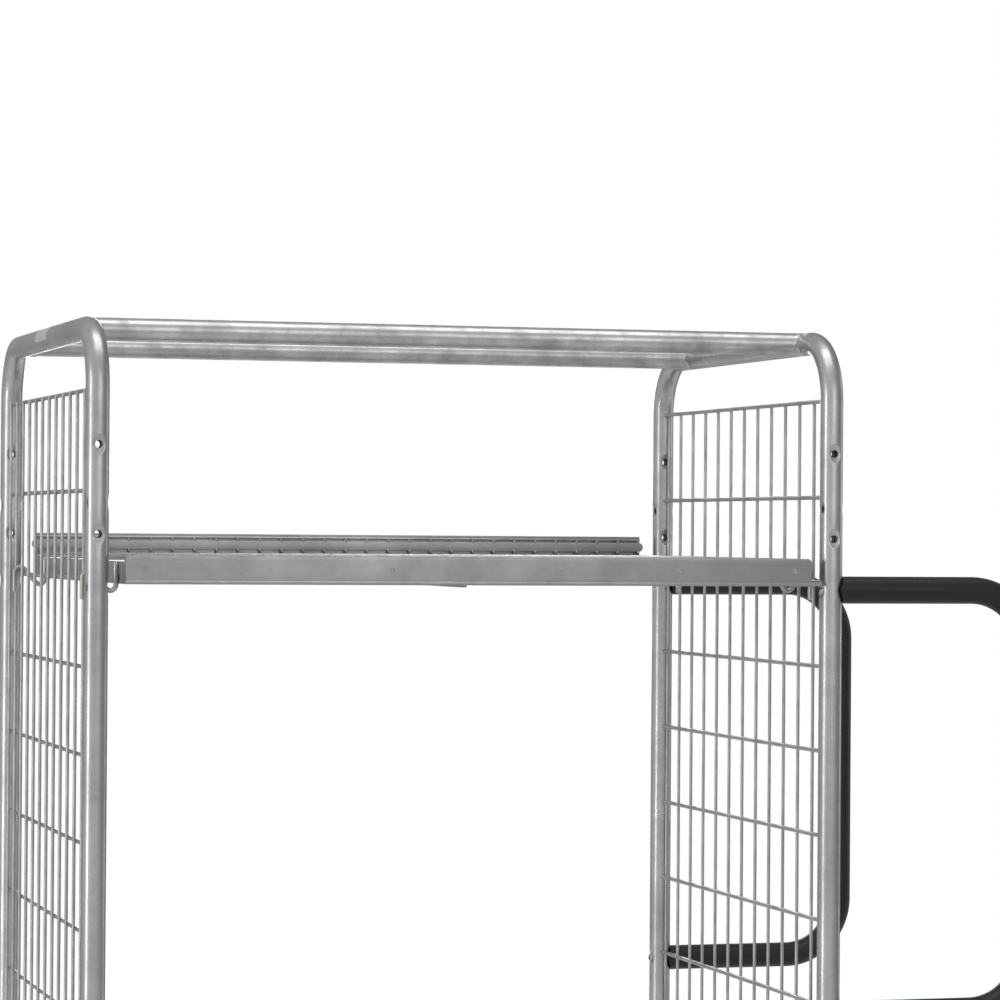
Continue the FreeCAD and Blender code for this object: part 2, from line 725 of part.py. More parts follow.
for name, x, y, end, side in castor_centres():
    nodes["castor_pad_" + name] = castor_pad(x, y, end, side)
    swivels = end > 0
    axle_x = x - swivel_offset if swivels else x
    if swivels:
        nodes["swivel_plate_" + name] = swivel_plate(x, y)
        nodes["king_pin_" + name] = king_pin(x, y)
        nodes["swivel_fork_" + name] = swivel_fork(x, y)
        nodes["brake_pedal_" + name] = brake_pedal(x, y)
    else:
        nodes["fixed_bracket_" + name] = fixed_bracket(x, y)
    for part, shape in wheel_parts(axle_x, y).items():
        nodes[part + "_" + name] = shape

for name, shape in nodes.items():
    shape.exportStep("parts/" + name + ".step")
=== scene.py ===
import json
import math
import random

import bmesh
import bpy
from mathutils import Matrix, Vector


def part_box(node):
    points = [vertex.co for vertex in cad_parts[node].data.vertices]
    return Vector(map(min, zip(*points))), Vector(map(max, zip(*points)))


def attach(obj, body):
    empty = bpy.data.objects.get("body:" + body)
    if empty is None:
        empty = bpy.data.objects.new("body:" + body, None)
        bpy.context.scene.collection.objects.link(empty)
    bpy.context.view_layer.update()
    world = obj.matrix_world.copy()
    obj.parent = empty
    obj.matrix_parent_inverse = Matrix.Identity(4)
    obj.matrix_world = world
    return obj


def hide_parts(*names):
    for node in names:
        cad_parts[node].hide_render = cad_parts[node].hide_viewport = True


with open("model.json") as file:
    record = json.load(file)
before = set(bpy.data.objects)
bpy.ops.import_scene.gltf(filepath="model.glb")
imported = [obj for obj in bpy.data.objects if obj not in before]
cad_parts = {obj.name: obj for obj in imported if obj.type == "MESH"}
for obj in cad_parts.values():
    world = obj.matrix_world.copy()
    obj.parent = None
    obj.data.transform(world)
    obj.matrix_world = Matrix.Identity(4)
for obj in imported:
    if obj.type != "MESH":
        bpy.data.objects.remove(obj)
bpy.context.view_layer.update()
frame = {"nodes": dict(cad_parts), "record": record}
body_of = {node: body for body, nodes in frame["record"]["behaviour"]["bodies"].items()
           for node in nodes}

# ------------------------------------------------------------
# End frames. Each end of the cage is one round steel tube bent to a tall upside-down U.
# Bolt holes are punched through both walls, and the punch presses a shallow dish round each.
# The finished frame is dipped in zinc, which leaves it bright, smooth and faintly streaked.

MM = 0.001
left_low, left_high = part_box("left_end_frame")
right_low, right_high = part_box("right_end_frame")
post_radius = (left_high.x - left_low.x) / 2
post_wall = 2.0 * MM
post_sides = 72
corner_bend = 70.0 * MM
bolt_hole_radius = 4.5 * MM
dish_radius = 12.0 * MM
dish_depth = 2.2 * MM
lip_radius = 6.3 * MM
lip_depth = 1.0 * MM
dish_soften = 0.5 * MM
dish_margin = 3.0 * MM
dish_ring_step = 0.9 * MM
punch_reach = post_radius * 1.5
run_width = 1.6 * MM
run_length = 60.0 * MM
tag_start = 276.0 * MM
tag_width = 83.0 * MM
tag_lift = 0.04 * MM
tag_corner = 1.5 * MM
tag_from = 195
tag_wrap = 105
tag_steps = 12
face_hole_drops = (146.5 * MM, 246.5 * MM)
end_hole_drops = (211.5 * MM, 306.5 * MM, 806.5 * MM)
left_x = (left_low.x + left_high.x) / 2
right_x = (right_low.x + right_high.x) / 2
front_y = left_low.y + post_radius
rear_y = left_high.y - post_radius
foot_z = left_low.z
top_z = left_high.z
bar_z = top_z - post_radius


def middle_of(name):
    """The middle of a CAD node's box."""
    low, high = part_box(name)
    return (low.x + high.x) / 2, (low.y + high.y) / 2, (low.z + high.z) / 2


def linear(code):
    """An sRGB hex colour as linear RGBA."""
    parts = [int(code[n:n + 2], 16) / 255 for n in (1, 3, 5)]
    return (*[p / 12.92 if p <= 0.04045 else ((p + 0.055) / 1.055) ** 2.4 for p in parts], 1.0)


def add(tree, kind, settings, links=None):
    """Adds a node. Settings are its sockets' values or its own properties, links its inputs."""
    node = tree.nodes.new(kind)
    for key, value in settings.items():
        if isinstance(key, int) or key in node.inputs:
            node.inputs[key].default_value = value
        else:
            setattr(node, key, value)
    for key, source in (links or {}).items():
        tree.links.new(source, node.inputs[key])
    return node


def finish_for(name, **values):
    """A new material with its shader's own sockets set. Returns material, tree and shader."""
    material = bpy.data.materials.new(name)
    material.use_nodes = True
    shader = material.node_tree.nodes["Principled BSDF"]
    for key, value in values.items():
        shader.inputs[key.replace("_", " ")].default_value = value
    return material, material.node_tree, shader


def coat(tree, shader, colour, gloss, bump):
    """Joins the colour, the gloss and the relief to a shader."""
    tree.links.new(colour.outputs[2], shader.inputs["Base Color"])
    tree.links.new(gloss.outputs[0], shader.inputs["Roughness"])
    tree.links.new(bump.outputs[0], shader.inputs["Normal"])


def galvanised(name, bright, dull, sheen, matt, along, spangle=9.0 * MM, patch=70.0 * MM):
    """Zinc on steel. Cloudy patches where the bath cooled unevenly, faint crystals called
    spangle, and fine runs along the length of the work (`along` is that axis, 0 to 2)."""
    material, tree, shader = finish_for(name, Metallic=1.0)
    place = add(tree, "ShaderNodeTexCoord", {}).outputs["Object"]
    stretch = [1 / run_width] * 3
    stretch[along] = 1 / run_length
    drawn_out = add(tree, "ShaderNodeVectorMath", {"operation": "MULTIPLY", 1: stretch}, {0: place})
    runs = add(tree, "ShaderNodeTexNoise", {"Scale": 1.0, "Detail": 2.0},
               {"Vector": drawn_out.outputs[0]})
    clouds = add(tree, "ShaderNodeTexNoise", {"Scale": 1 / patch, "Detail": 4.0, "Roughness": 0.62},
                 {"Vector": place})
    crystals = add(tree, "ShaderNodeTexVoronoi", {"Scale": 1 / spangle}, {"Vector": place})
    crystal_tone = add(tree, "ShaderNodeSeparateColor", {}, {0: crystals.outputs["Color"]})
    cloud_tone = add(tree, "ShaderNodeMapRange", {"From Min": 0.34, "From Max": 0.66},
                     {"Value": clouds.outputs["Fac"]})
    with_runs = add(tree, "ShaderNodeMix", {0: 0.38},
                    {2: cloud_tone.outputs[0], 3: runs.outputs["Fac"]})
    tone = add(tree, "ShaderNodeMix", {0: 0.16},
               {2: with_runs.outputs[0], 3: crystal_tone.outputs[0]})
    colour = add(tree, "ShaderNodeMix", {"data_type": "RGBA", 6: linear(dull), 7: linear(bright)},
                 {0: tone.outputs[0]})
    gloss = add(tree, "ShaderNodeMapRange", {"To Min": matt, "To Max": sheen},
                {"Value": tone.outputs[0]})
    relief = add(tree, "ShaderNodeMath", {"operation": "ADD"},
                 {0: runs.outputs["Fac"], 1: clouds.outputs["Fac"]})
    bump = add(tree, "ShaderNodeBump", {"Strength": 0.05, "Distance": 0.25 * MM},
               {"Height": relief.outputs[0]})
    coat(tree, shader, colour, gloss, bump)
    return material


def route(points, bend, step=5.0):
    """The line through `points`, each inner corner rounded to radius `bend` every `step` degrees."""
    points = [Vector(point) for point in points]
    line = [points[0]]
    for before, corner, after in zip(points, points[1:], points[2:]):
        incoming = (corner - before).normalized()
        outgoing = (after - corner).normalized()
        turn = incoming.angle(outgoing)
        centre = corner + (outgoing - incoming).normalized() * (bend / math.cos(turn / 2))
        spoke = corner - incoming * (bend * math.tan(turn / 2)) - centre
        axis = incoming.cross(outgoing)
        count = max(2, round(math.degrees(turn) / step))
        line += [centre + Matrix.Rotation(turn * n / count, 3, axis) @ spoke for n in range(count + 1)]
    return line + [points[-1]]


def circles(line, radii, sides):
    """A circle of points square to the line at each of its points, with no twist between them."""
    line = [Vector(point) for point in line]
    result = []
    side = (line[1] - line[0]).orthogonal()
    for n, (point, radius) in enumerate(zip(line, radii)):
        ahead = (line[min(n + 1, len(line) - 1)] - line[max(n - 1, 0)]).normalized()
        side = (side - ahead * side.dot(ahead)).normalized()
        up = ahead.cross(side)
        angles = [math.tau * k / sides for k in range(sides)]
        result.append([point + (side * math.cos(a) + up * math.sin(a)) * radius for a in angles])
    return result


def skin(bm, loops, closed=False):
    """Faces between each loop of points and the next. Returns the loops as vertices."""
    rows = [[bm.verts.new(point) for point in loop] for loop in loops]
    for row, following in zip(rows, rows[1:] + rows[:1] if closed else rows[1:]):
        for n in range(len(row)):
            after = (n + 1) % len(row)
            bm.faces.new((row[n], row[after], following[after], following[n]))
    return rows


def pipe(bm, outer, inner):
    """A tube from its outer loops and its inner loops, closed at both ends by its wall."""
    skin(bm, outer + inner[::-1], closed=True)


def make(name, bm, slot, finish, *nodes, sharp=38.0):
    """A smooth shaded piece from the mesh. It stands for the CAD nodes named, on their body."""
    bmesh.ops.recalc_face_normals(bm, faces=bm.faces)
    for edge in bm.edges:
        if len(edge.link_faces) == 2:
            edge.smooth = edge.calc_face_angle() < math.radians(sharp)
    for face in bm.faces:
        face.smooth = True
    mesh = bpy.data.meshes.new(name)
    bm.to_mesh(mesh)
    bm.free()
    mesh.materials.append(finish)
    piece = bpy.data.objects.new(name, mesh)
    bpy.context.scene.collection.objects.link(piece)
    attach(piece, body_of[nodes[0]] if nodes else "trolley")
    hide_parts(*nodes)
    return piece


def cut(bm, tool):
    """The mesh with the tool's volume taken away."""
    work = []
    for part in (bm, tool):
        mesh = bpy.data.meshes.new("cut")
        bmesh.ops.recalc_face_normals(part, faces=part.faces)
        part.to_mesh(mesh)
        part.free()
        work.append(bpy.data.objects.new("cut", mesh))
        bpy.context.scene.collection.objects.link(work[-1])
    boolean = work[0].modifiers.new("cut", "BOOLEAN")
    boolean.object = work[1]
    boolean.solver = "EXACT"
    result = bmesh.new()
    depsgraph = bpy.context.evaluated_depsgraph_get()
    result.from_mesh(work[0].evaluated_get(depsgraph).to_mesh())
    for scrap in work:
        mesh = scrap.data
        bpy.data.objects.remove(scrap)
        bpy.data.meshes.remove(mesh)
    return result


def run(start, end, marks, coarse=60.0 * MM):
    """Points from start to end, a few far apart and many where a hole is pressed in."""
    length = (end - start).length
    reach = dish_radius + dish_margin
    stations = {coarse * n for n in range(int(length / coarse) + 1)} | {length}
    stations = {s for s in stations if all(abs(s - mark) > reach for mark in marks)}
    for mark in marks:
        count = round(2 * reach / dish_ring_step)
        stations |= {mark - reach + 2 * reach * n / count for n in range(count + 1)}
    return [start.lerp(end, s / length) for s in sorted(stations)]


def pressed(point, inner_point, holes):
    """Both wall points pushed in where a punch has dished the tube."""
    for centre, axis in holes:
        height = (point - centre).dot(axis)
        spread = (point - centre - axis * height).length
        if height <= 0 or spread > dish_radius + dish_margin:
            continue
        rise = min(max((spread - lip_radius) / (dish_radius - lip_radius), 0.0), 1.0)
        lip = min(max((lip_radius - spread) / (lip_radius - bolt_hole_radius), 0.0), 1.0)
        dish = post_radius - dish_depth * (1 - rise * rise * (3 - 2 * rise)) - lip_depth * lip
        blend = max(dish_soften - abs(height - dish), 0.0) / dish_soften
        lowered = min(height, dish) - blend * blend * dish_soften / 4
        point = point + axis * (lowered - height)
        inner_point = inner_point + axis * (lowered - height)
    return point, inner_point


def bar(bm, line, radius, sides=12, tip=0.0):
    """A solid round bar along a line. `tip` is how far its ends are rounded off."""
    line = [Vector(point) for point in line]
    radii = [radius] * len(line)
    if tip:
        first = (line[1] - line[0]).normalized()
        last = (line[-1] - line[-2]).normalized()
        steps = [math.radians(angle) for angle in (80, 60, 35)]
        start = [line[0] + first * tip * (1 - math.sin(a)) for a in steps]
        end = [line[-1] - last * tip * (1 - math.sin(a)) for a in steps[::-1]]
        ends = [radius - tip * (1 - math.cos(a)) for a in steps]
        line = start + [line[0] + first * tip] + line[1:-1] + [line[-1] - last * tip] + end
        radii = ends + [radius] + radii[1:-1] + [radius] + ends[::-1]
    rows = skin(bm, circles(line, radii, sides))
    bm.faces.new(rows[0])
    bm.faces.new(rows[-1])


def end_frame(name, x, finish):
    """One end: the bent tube with its holes and the dish the punch leaves round each."""
    marks = sorted(top_z - drop - foot_z for drop in face_hole_drops + end_hole_drops)
    straight_top = bar_z - corner_bend
    front_run = run(Vector((x, front_y, foot_z)), Vector((x, front_y, straight_top)), marks)
    rear_run = run(Vector((x, rear_y, foot_z)), Vector((x, rear_y, straight_top)), marks)
    corners = [(x, y, z) for y, z in
               ((front_y, foot_z), (front_y, bar_z), (rear_y, bar_z), (rear_y, foot_z))]
    bends = route(corners, corner_bend, step=3.0)[1:-1]
    line = front_run[:-1] + bends + rear_run[:-1][::-1]
    outer = circles(line, [post_radius] * len(line), post_sides)
    inner = circles(line, [post_radius - post_wall] * len(line), post_sides)
    holes = []
    tool = bmesh.new()
    for y in (front_y, rear_y):
        for drops, axis in ((face_hole_drops, Vector((0, 1, 0))), (end_hole_drops, Vector((1, 0, 0)))):
            for drop in drops:
                centre = Vector((x, y, top_z - drop))
                holes += [(centre, axis), (centre, -axis)]
                reach = axis * punch_reach
                bar(tool, [centre - reach, centre + reach], bolt_hole_radius, sides=32)
    for outer_loop, inner_loop in zip(outer, inner):
        near = [(centre, axis) for centre, axis in holes
                if abs(outer_loop[0].z - centre.z) < dish_radius + dish_margin
                and abs(outer_loop[0].y - centre.y) < 2 * post_radius]
        for n in range(post_sides if near else 0):
            outer_loop[n], inner_loop[n] = pressed(outer_loop[n], inner_loop[n], near)
    bm = bmesh.new()
    pipe(bm, outer, inner)
    return make(name + "_end_tube", cut(bm, tool), "galvanised_tube", finish,
                name + "_end_frame", sharp=50.0)


# Bright smooth zinc: the long highlight stays crisp, so the crystals only just show.
tube_zinc = galvanised("bright_galvanised_tube", "#d2d3d4", "#a4a6a8", 0.22, 0.40, along=2)
end_frame("left", left_x, tube_zinc)
end_frame("right", right_x, tube_zinc)

# A blank foil tag is wrapped round the outer side of the left top bar.
tag = bmesh.new()
tag_rows = []
for n in range(tag_steps + 1):
    angle = math.radians(tag_from - tag_wrap * n / tag_steps)
    spoke = Vector((math.cos(angle), 0, math.sin(angle)))
    centre = Vector((left_x, front_y + tag_start, bar_z))
    inset = tag_corner if n in (0, tag_steps) else 0.0
    tag_rows.append([centre + spoke * (post_radius + lift) + Vector((0, y, 0))
                     for lift, y in ((0, inset), (tag_lift, inset), (tag_lift, tag_width - inset),
                                     (0, tag_width - inset))])
tag_loops = skin(tag, tag_rows)
tag.faces.new(tag_loops[0])
tag.faces.new(tag_loops[-1])
# Paler and more even than the zinc under it, with a soft sheen.
foil = galvanised("satin_aluminium_foil", "#eceded", "#d2d4d5", 0.42, 0.55, along=1, patch=9.0 * MM)
make("blank_foil_tag", tag, "galvanised_tube", foil)

# ------------------------------------------------------------
# End meshes. Thirteen thin uprights are spot welded to the outer side of thicker cross wires,
# and each cross wire is welded at its ends to the posts. Zinc gathers in the crossings, so each
# one is a small smooth lump. No wire is quite straight.

upright_radius = 2.0 * MM
cross_radius = 2.5 * MM
uprights = 13
upright_gap = 0.3 * MM
upright_short = 1.2 * MM
first_cross_drop = 83.5 * MM
second_cross_drop = 197.5 * MM
cross_pitch = 100.0 * MM
crosses = 14
wire_bow = 0.25 * MM
wire_tip = 0.8 * MM
lump_size = 2.1 * MM
random.seed(11)


def lump(bm, centre, across, deep, tall):
    """A smooth blob of zinc or weld metal, a little different each time."""
    sizes = [size * random.uniform(0.9, 1.12) for size in (across, deep, tall)]
    place = Matrix.Translation(centre) @ Matrix.Diagonal(sizes + [1.0])
    bmesh.ops.create_icosphere(bm, subdivisions=2, radius=1.0, matrix=place)


def bowed(start, end, sideways, stations=7):
    """A nearly straight line from start to end with a gentle random bow."""
    shift = random.uniform(-wire_bow, wire_bow)
    turn = random.uniform(0.7, 1.3) * math.pi
    return [start.lerp(end, n / (stations - 1)) + sideways * shift * math.sin(turn * n / (stations - 1))
            for n in range(stations)]


def end_mesh(name, x, outward):
    """The grille of one end, its uprights on the outer side of its cross wires."""
    low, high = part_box(name)
    x_upright = high.x - upright_radius if outward > 0 else low.x + upright_radius
    x_cross = low.x + cross_radius if outward > 0 else high.x - cross_radius
    first = front_y + post_radius + upright_gap + upright_radius
    pitch = -2 * first / (uprights - 1)
    columns = [first + pitch * n for n in range(uprights)]
    levels = [top_z - first_cross_drop]
    levels += [top_z - second_cross_drop - cross_pitch * n for n in range(crosses - 1)]
    reach = math.sqrt(post_radius ** 2 - (x_cross - x) ** 2)
    side = Vector((0, 1, 0))
    bm = bmesh.new()
    for y in columns:
        foot = Vector((x_upright, y, low.z))
        top = Vector((x_upright, y, high.z - upright_short))
        bar(bm, bowed(foot, top, side), upright_radius, sides=14, tip=wire_tip)
    for z in levels:
        start = Vector((x_cross, front_y + reach, z))
        end = Vector((x_cross, rear_y - reach, z))
        bar(bm, bowed(start, end, Vector((0, 0, 1))), cross_radius, sides=14)
        for y in columns:
            centre = ((x_upright + x_cross) / 2, y, z - lump_size / 4)
            lump(bm, centre, lump_size * 0.8, lump_size, min(lump_size, high.z - z))
        for point in (start, end):
            lump(bm, point, lump_size * 1.1, lump_size * 0.9, lump_size * 1.2)
    make(name + "_wires", bm, "galvanised_wire", wire_zinc, name)


# Duller than the tube: thin wire cools fast, and its zinc freezes greyer.
wire_zinc = galvanised("galvanised_wire_grey", "#cacbcc", "#9b9d9e", 0.26, 0.44, along=2,
                       patch=40.0 * MM)
end_mesh("left_end_mesh", left_x, -1)
end_mesh("right_end_mesh", right_x, 1)

# ------------------------------------------------------------
# Top tubes. Two tubes tie the end frames together. Their ends are cut to a saddle, set against
# the top bars and welded with one thin run. The zinc is cloudy, and matt in patches.

top_tube_radius = 13.5 * MM
top_tube_wall = 2.0 * MM
saddle_trim = 4.0 * MM
end_length = 60.0 * MM
tube_sides = 64
bead_steps = 72
weld_radius = 1.1 * MM
bead_profile = [(step * MM, proud * MM) for step, proud in
                ((-0.8, -0.4), (-0.4, 0.5), (1.5, 0.8), (4.0, 0.8), (6.2, 0.6), (6.8, -0.3))]


def weld(bm, line, radius, closed=False):
    """One run of weld metal along a line, rippled where each drop froze."""
    loops = circles(line, [radius * random.uniform(0.82, 1.18) for point in line], 8)
    rows = skin(bm, loops, closed=closed)
    if not closed:
        bm.faces.new(rows[0])
        bm.faces.new(rows[-1])


def saddle(line_x, away, offset):
    """Where a tube that runs along X meets a bar along Y, for a point `offset` above the axes."""
    depth = math.sqrt(max(post_radius ** 2 - offset ** 2, 0.0))
    return line_x + away * max(depth, saddle_trim)


def top_tube(name, y):
    """One level tube with its saddle ends and the ring of weld round each."""
    stations = [left_x, left_x + end_length, 0.0, right_x - end_length, right_x]
    line = [(x, y, bar_z) for x in stations]
    outer = circles(line, [top_tube_radius] * len(line), tube_sides)
    inner = circles(line, [top_tube_radius - top_tube_wall] * len(line), tube_sides)
    bm = bmesh.new()
    for loops in (outer, inner):
        for end, away, x in ((0, 1, left_x), (-1, -1, right_x)):
            for point in loops[end]:
                point.x = saddle(x, away, point.z - bar_z)
    pipe(bm, outer, inner)
    for away, x in ((1, left_x), (-1, right_x)):
        rows = []
        for n in range(bead_steps):
            angle = math.tau * n / bead_steps
            spread = random.uniform(0.94, 1.06)
            root = saddle(x, away, top_tube_radius * math.sin(angle))
            row = []
            for step, proud in bead_profile:
                radius = top_tube_radius + proud * spread
                row.append((root + away * step * spread, y + radius * math.cos(angle),
                            min(bar_z + radius * math.sin(angle), top_z)))
            rows.append(row)
        skin(bm, rows, closed=True)
    make(name + "_welded", bm, "galvanised_tube", top_zinc, name)


# The same zinc on level tubes, with its runs along X and more cloud.
top_zinc = galvanised("bright_galvanised_level_tube", "#dedfe0", "#97999b", 0.22, 0.46, along=0,
                      patch=45.0 * MM)
for name in ("top_tube_front", "top_tube_rear"):
    top_tube(name, middle_of(name)[1])

# ------------------------------------------------------------
# Base rails. Cold formed rectangular tube stands on edge between the feet of the posts, with
# one more across the middle under the deck. The ends against the posts are cut hollow to fit.

rail_wall = 2.0 * MM
rail_corner = 3.0 * MM
rail_weld_points = 14


def rounded(x0, x1, y0, y1, radius, steps=5):
    """A rectangle's outline with round corners, anticlockwise."""
    corners = ((x1, y0, -90), (x1, y1, 0), (x0, y1, 90), (x0, y0, 180))
    points = []
    for x, y, start in corners:
        centre_x = x - radius if x == x1 else x + radius
        centre_y = y - radius if y == y1 else y + radius
        for n in range(steps + 1):
            angle = math.radians(start + 90 * n / steps)
            points.append((centre_x + radius * math.cos(angle), centre_y + radius * math.sin(angle)))
    return points


def base_rail(name, along, coped):
    """A rail along axis 0 or 1. A coped one has its ends cut hollow to sit on the posts."""
    low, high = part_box(name)
    across = 1 - along
    middle = (low[across] + high[across]) / 2
    ends = [low[along], high[along]]
    posts = [left_x, right_x] if along == 0 else [front_y, rear_y]

    def end_point(n, side, z):
        """The point on end n of the rail that lies at `side` across it and z up."""
        point = [0, 0, z]
        point[across] = side
        point[along] = ends[n]
        if coped:
            hollow = math.sqrt(post_radius ** 2 - (side - middle) ** 2)
            point[along] = posts[n] + (hollow, -hollow)[n]
        return point

    bm = bmesh.new()
    walls = []
    for inset, corner in ((0.0, rail_corner), (rail_wall, rail_corner - rail_wall)):
        outline = rounded(low[across] + inset, high[across] - inset,
                          low.z + inset, high.z - inset, corner)
        walls.append([[end_point(n, side, z) for side, z in outline] for n in (0, 1)])
    pipe(bm, walls[0], walls[1])
    for n in (0, 1):
        for side in (low[across], high[across]):
            levels = [low.z + (high.z - low.z) * step / (rail_weld_points - 1)
                      for step in range(rail_weld_points)]
            weld(bm, [end_point(n, side, z) for z in levels], weld_radius * 1.3)
    return make(name + "_tube", bm, "galvanised_rail", rail_zinc[along], name)


# Rolled and dipped: a little darker than the posts, with soft grey cloud.
rail_zinc = [galvanised("galvanised_rail_level", "#b4b8ba", "#84888c", 0.26, 0.48, along=0),
             galvanised("galvanised_rail_across", "#b4b8ba", "#84888c", 0.26, 0.48, along=1)]
base_rail("base_rail_front", 0, True)
base_rail("base_rail_rear", 0, True)
base_rail("base_rail_left", 1, True)
base_rail("base_rail_right", 1, True)
base_rail("base_cross_rail", 1, False)

# ------------------------------------------------------------
# Deck. One galvanised sheet lies on the base rails with its front and rear edges folded down
# over them. Long shallow swages are pressed into each half, so that it doesn't drum or sag.

deck_sheet = 2.0 * MM
deck_fold = 3.0 * MM
swage_depth = 1.6 * MM
swage_width = 34.0 * MM
swages = 6
swage_fade = 26.0 * MM
swage_end_gap = 40.0 * MM
swage_middle_gap = 30.0 * MM
deck_steps_along = 120
deck_steps_across = 150
deck_low, deck_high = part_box("deck")


def swage(x, y):
    """How deep the sheet is pressed at a place."""
    middle = (left_x + right_x) / 2
    halves = ((deck_low.x + swage_end_gap, middle - swage_middle_gap),
              (middle + swage_middle_gap, deck_high.x - swage_end_gap))
    along = max(min(x - x0, x1 - x) for x0, x1 in halves)
    pitch = (rear_y - front_y) / swages
    across = abs((y - front_y) % pitch - pitch / 2)
    fade_along = min(max(along / swage_fade, 0.0), 1.0)
    fade_across = min(max((swage_width / 2 - across) / (swage_width / 4), 0.0), 1.0)
    return swage_depth * (fade_along * fade_along * (3 - 2 * fade_along)
                          * fade_across * fade_across * (3 - 2 * fade_across))


def deck():
    """The folded sheet, as one section swept along X and pressed where the swages are."""
    half = deck_sheet / 2
    corners = [(0, y, z) for y, z in ((deck_low.y + half, deck_low.z),
                                             (deck_low.y + half, deck_high.z - half),
                                             (deck_high.y - half, deck_high.z - half),
                                             (deck_high.y - half, deck_low.z))]
    path = route(corners, deck_fold, step=15)
    turn = next(n for n, point in enumerate(path) if point.z > deck_high.z - half - 1e-6)
    flat = [path[turn].lerp(path[-turn - 1], n / deck_steps_across)
            for n in range(deck_steps_across + 1)]
    path = path[:turn] + flat + path[len(path) - turn:]
    sides = []
    for n, point in enumerate(path):
        ahead = (path[min(n + 1, len(path) - 1)] - path[max(n - 1, 0)]).normalized()
        sides.append(Vector((0, -ahead.z, ahead.y)) * half)
    loops = []
    for k in range(deck_steps_along + 1):
        x = deck_low.x + (deck_high.x - deck_low.x) * k / deck_steps_along
        pressed_in = [Vector((x, 0, -swage(x, point.y) if point.z > deck_low.z + 2 * deck_fold else 0))
                      for point in path]
        top = [point + side + shift for point, side, shift in zip(path, sides, pressed_in)]
        bottom = [point - side + shift for point, side, shift in zip(path, sides, pressed_in)]
        loops.append(top + bottom[::-1])
    bm = bmesh.new()
    rows = skin(bm, loops)
    half_loop = len(path)
    for row in (rows[0], rows[-1]):
        for n in range(half_loop - 1):
            bm.faces.new((row[n], row[n + 1], row[2 * half_loop - 2 - n], row[2 * half_loop - 1 - n]))
    make("deck_swaged_sheet", bm, "galvanised_sheet", deck_zinc, "deck", sharp=50.0)


# Sheet from a continuous line: small even crystals, flatter and greyer than dipped tube.
deck_zinc = galvanised("spangled_zinc_sheet", "#b2b6b8", "#8d9194", 0.30, 0.44, along=0,
                       spangle=14.0 * MM)
deck()

# ------------------------------------------------------------
# Push handles. Each is a wide D of black powder coated steel tube. Two slanting saw cuts at each
# end make a notch that sits on the post, and a socket head bolt goes through the post into a
# plug inside the tube.

handle_radius = 16.0 * MM
handle_wall = 3.0 * MM
handle_bend = 75.0 * MM
handle_tip = 6.9 * MM
handle_mitre = 0.38
head_radius = 6.5 * MM
head_height = 3.4 * MM
head_sink = 2.2 * MM
head_edge = 0.9 * MM
shank_radius = 4.0 * MM
socket_radius = 2.9 * MM
grit = 0.9 * MM


def satin_black(name, colour, rough, grain):
    """Powder coat or moulded nylon: black with a soft sheen and a fine even orange peel."""
    material, tree, shader = finish_for(name, IOR=1.5)
    place = add(tree, "ShaderNodeTexCoord", {}).outputs["Object"]
    peel = add(tree, "ShaderNodeTexNoise", {"Scale": 1 / grain, "Detail": 2.0}, {"Vector": place})
    rub = add(tree, "ShaderNodeTexNoise", {"Scale": 1 / (60 * MM), "Detail": 3.0}, {"Vector": place})
    shade = add(tree, "ShaderNodeMix", {"data_type": "RGBA", 6: linear(colour), 7: linear("#101010")},
                {0: rub.outputs["Fac"]})
    gloss = add(tree, "ShaderNodeMapRange", {"To Min": rough + 0.08, "To Max": rough - 0.08},
                {"Value": rub.outputs["Fac"]})
    bump = add(tree, "ShaderNodeBump", {"Strength": 0.2, "Distance": 0.08 * MM},
               {"Height": peel.outputs["Fac"]})
    coat(tree, shader, shade, gloss, bump)
    return material


def lathe(bm, profile, place, steps=64, closed=True):
    """Turns (radius, height) points about the local Z axis of `place`."""
    angles = [math.tau * n / steps for n in range(steps)]
    loops = [[place @ Vector((radius * math.cos(a), radius * math.sin(a), height)) for a in angles]
             for radius, height in profile]
    rows = skin(bm, loops, closed=closed)
    if not closed:
        bm.faces.new(rows[0])
        bm.faces.new(rows[-1])


def push_handle(name):
    """The bent tube, with both ends sawn to sit on the post."""
    low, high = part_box(name)
    y = (low.y + high.y) / 2
    grip_x = high.x - handle_radius
    upper = high.z - handle_radius
    lower = low.z + handle_radius
    start_x = right_x + handle_tip
    corners = [(x, y, z) for x, z in ((start_x, upper), (grip_x, upper),
                                             (grip_x, lower), (start_x, lower))]
    line = route(corners, handle_bend, step=3.0)
    outer = circles(line, [handle_radius] * len(line), tube_sides)
    inner = circles(line, [handle_radius - handle_wall] * len(line), tube_sides)
    for loops in (outer, inner):
        for end in (0, -1):
            for point in loops[end]:
                aside = min(abs(point.y - y), post_radius)
                axis_z = line[end].z
                sawn = handle_tip + handle_mitre * abs(point.z - axis_z)
                point.x = right_x + max(sawn, math.sqrt(post_radius ** 2 - aside ** 2))
    bm = bmesh.new()
    pipe(bm, outer, inner)
    make(name + "_tube", bm, "black_tube", handle_black, name)


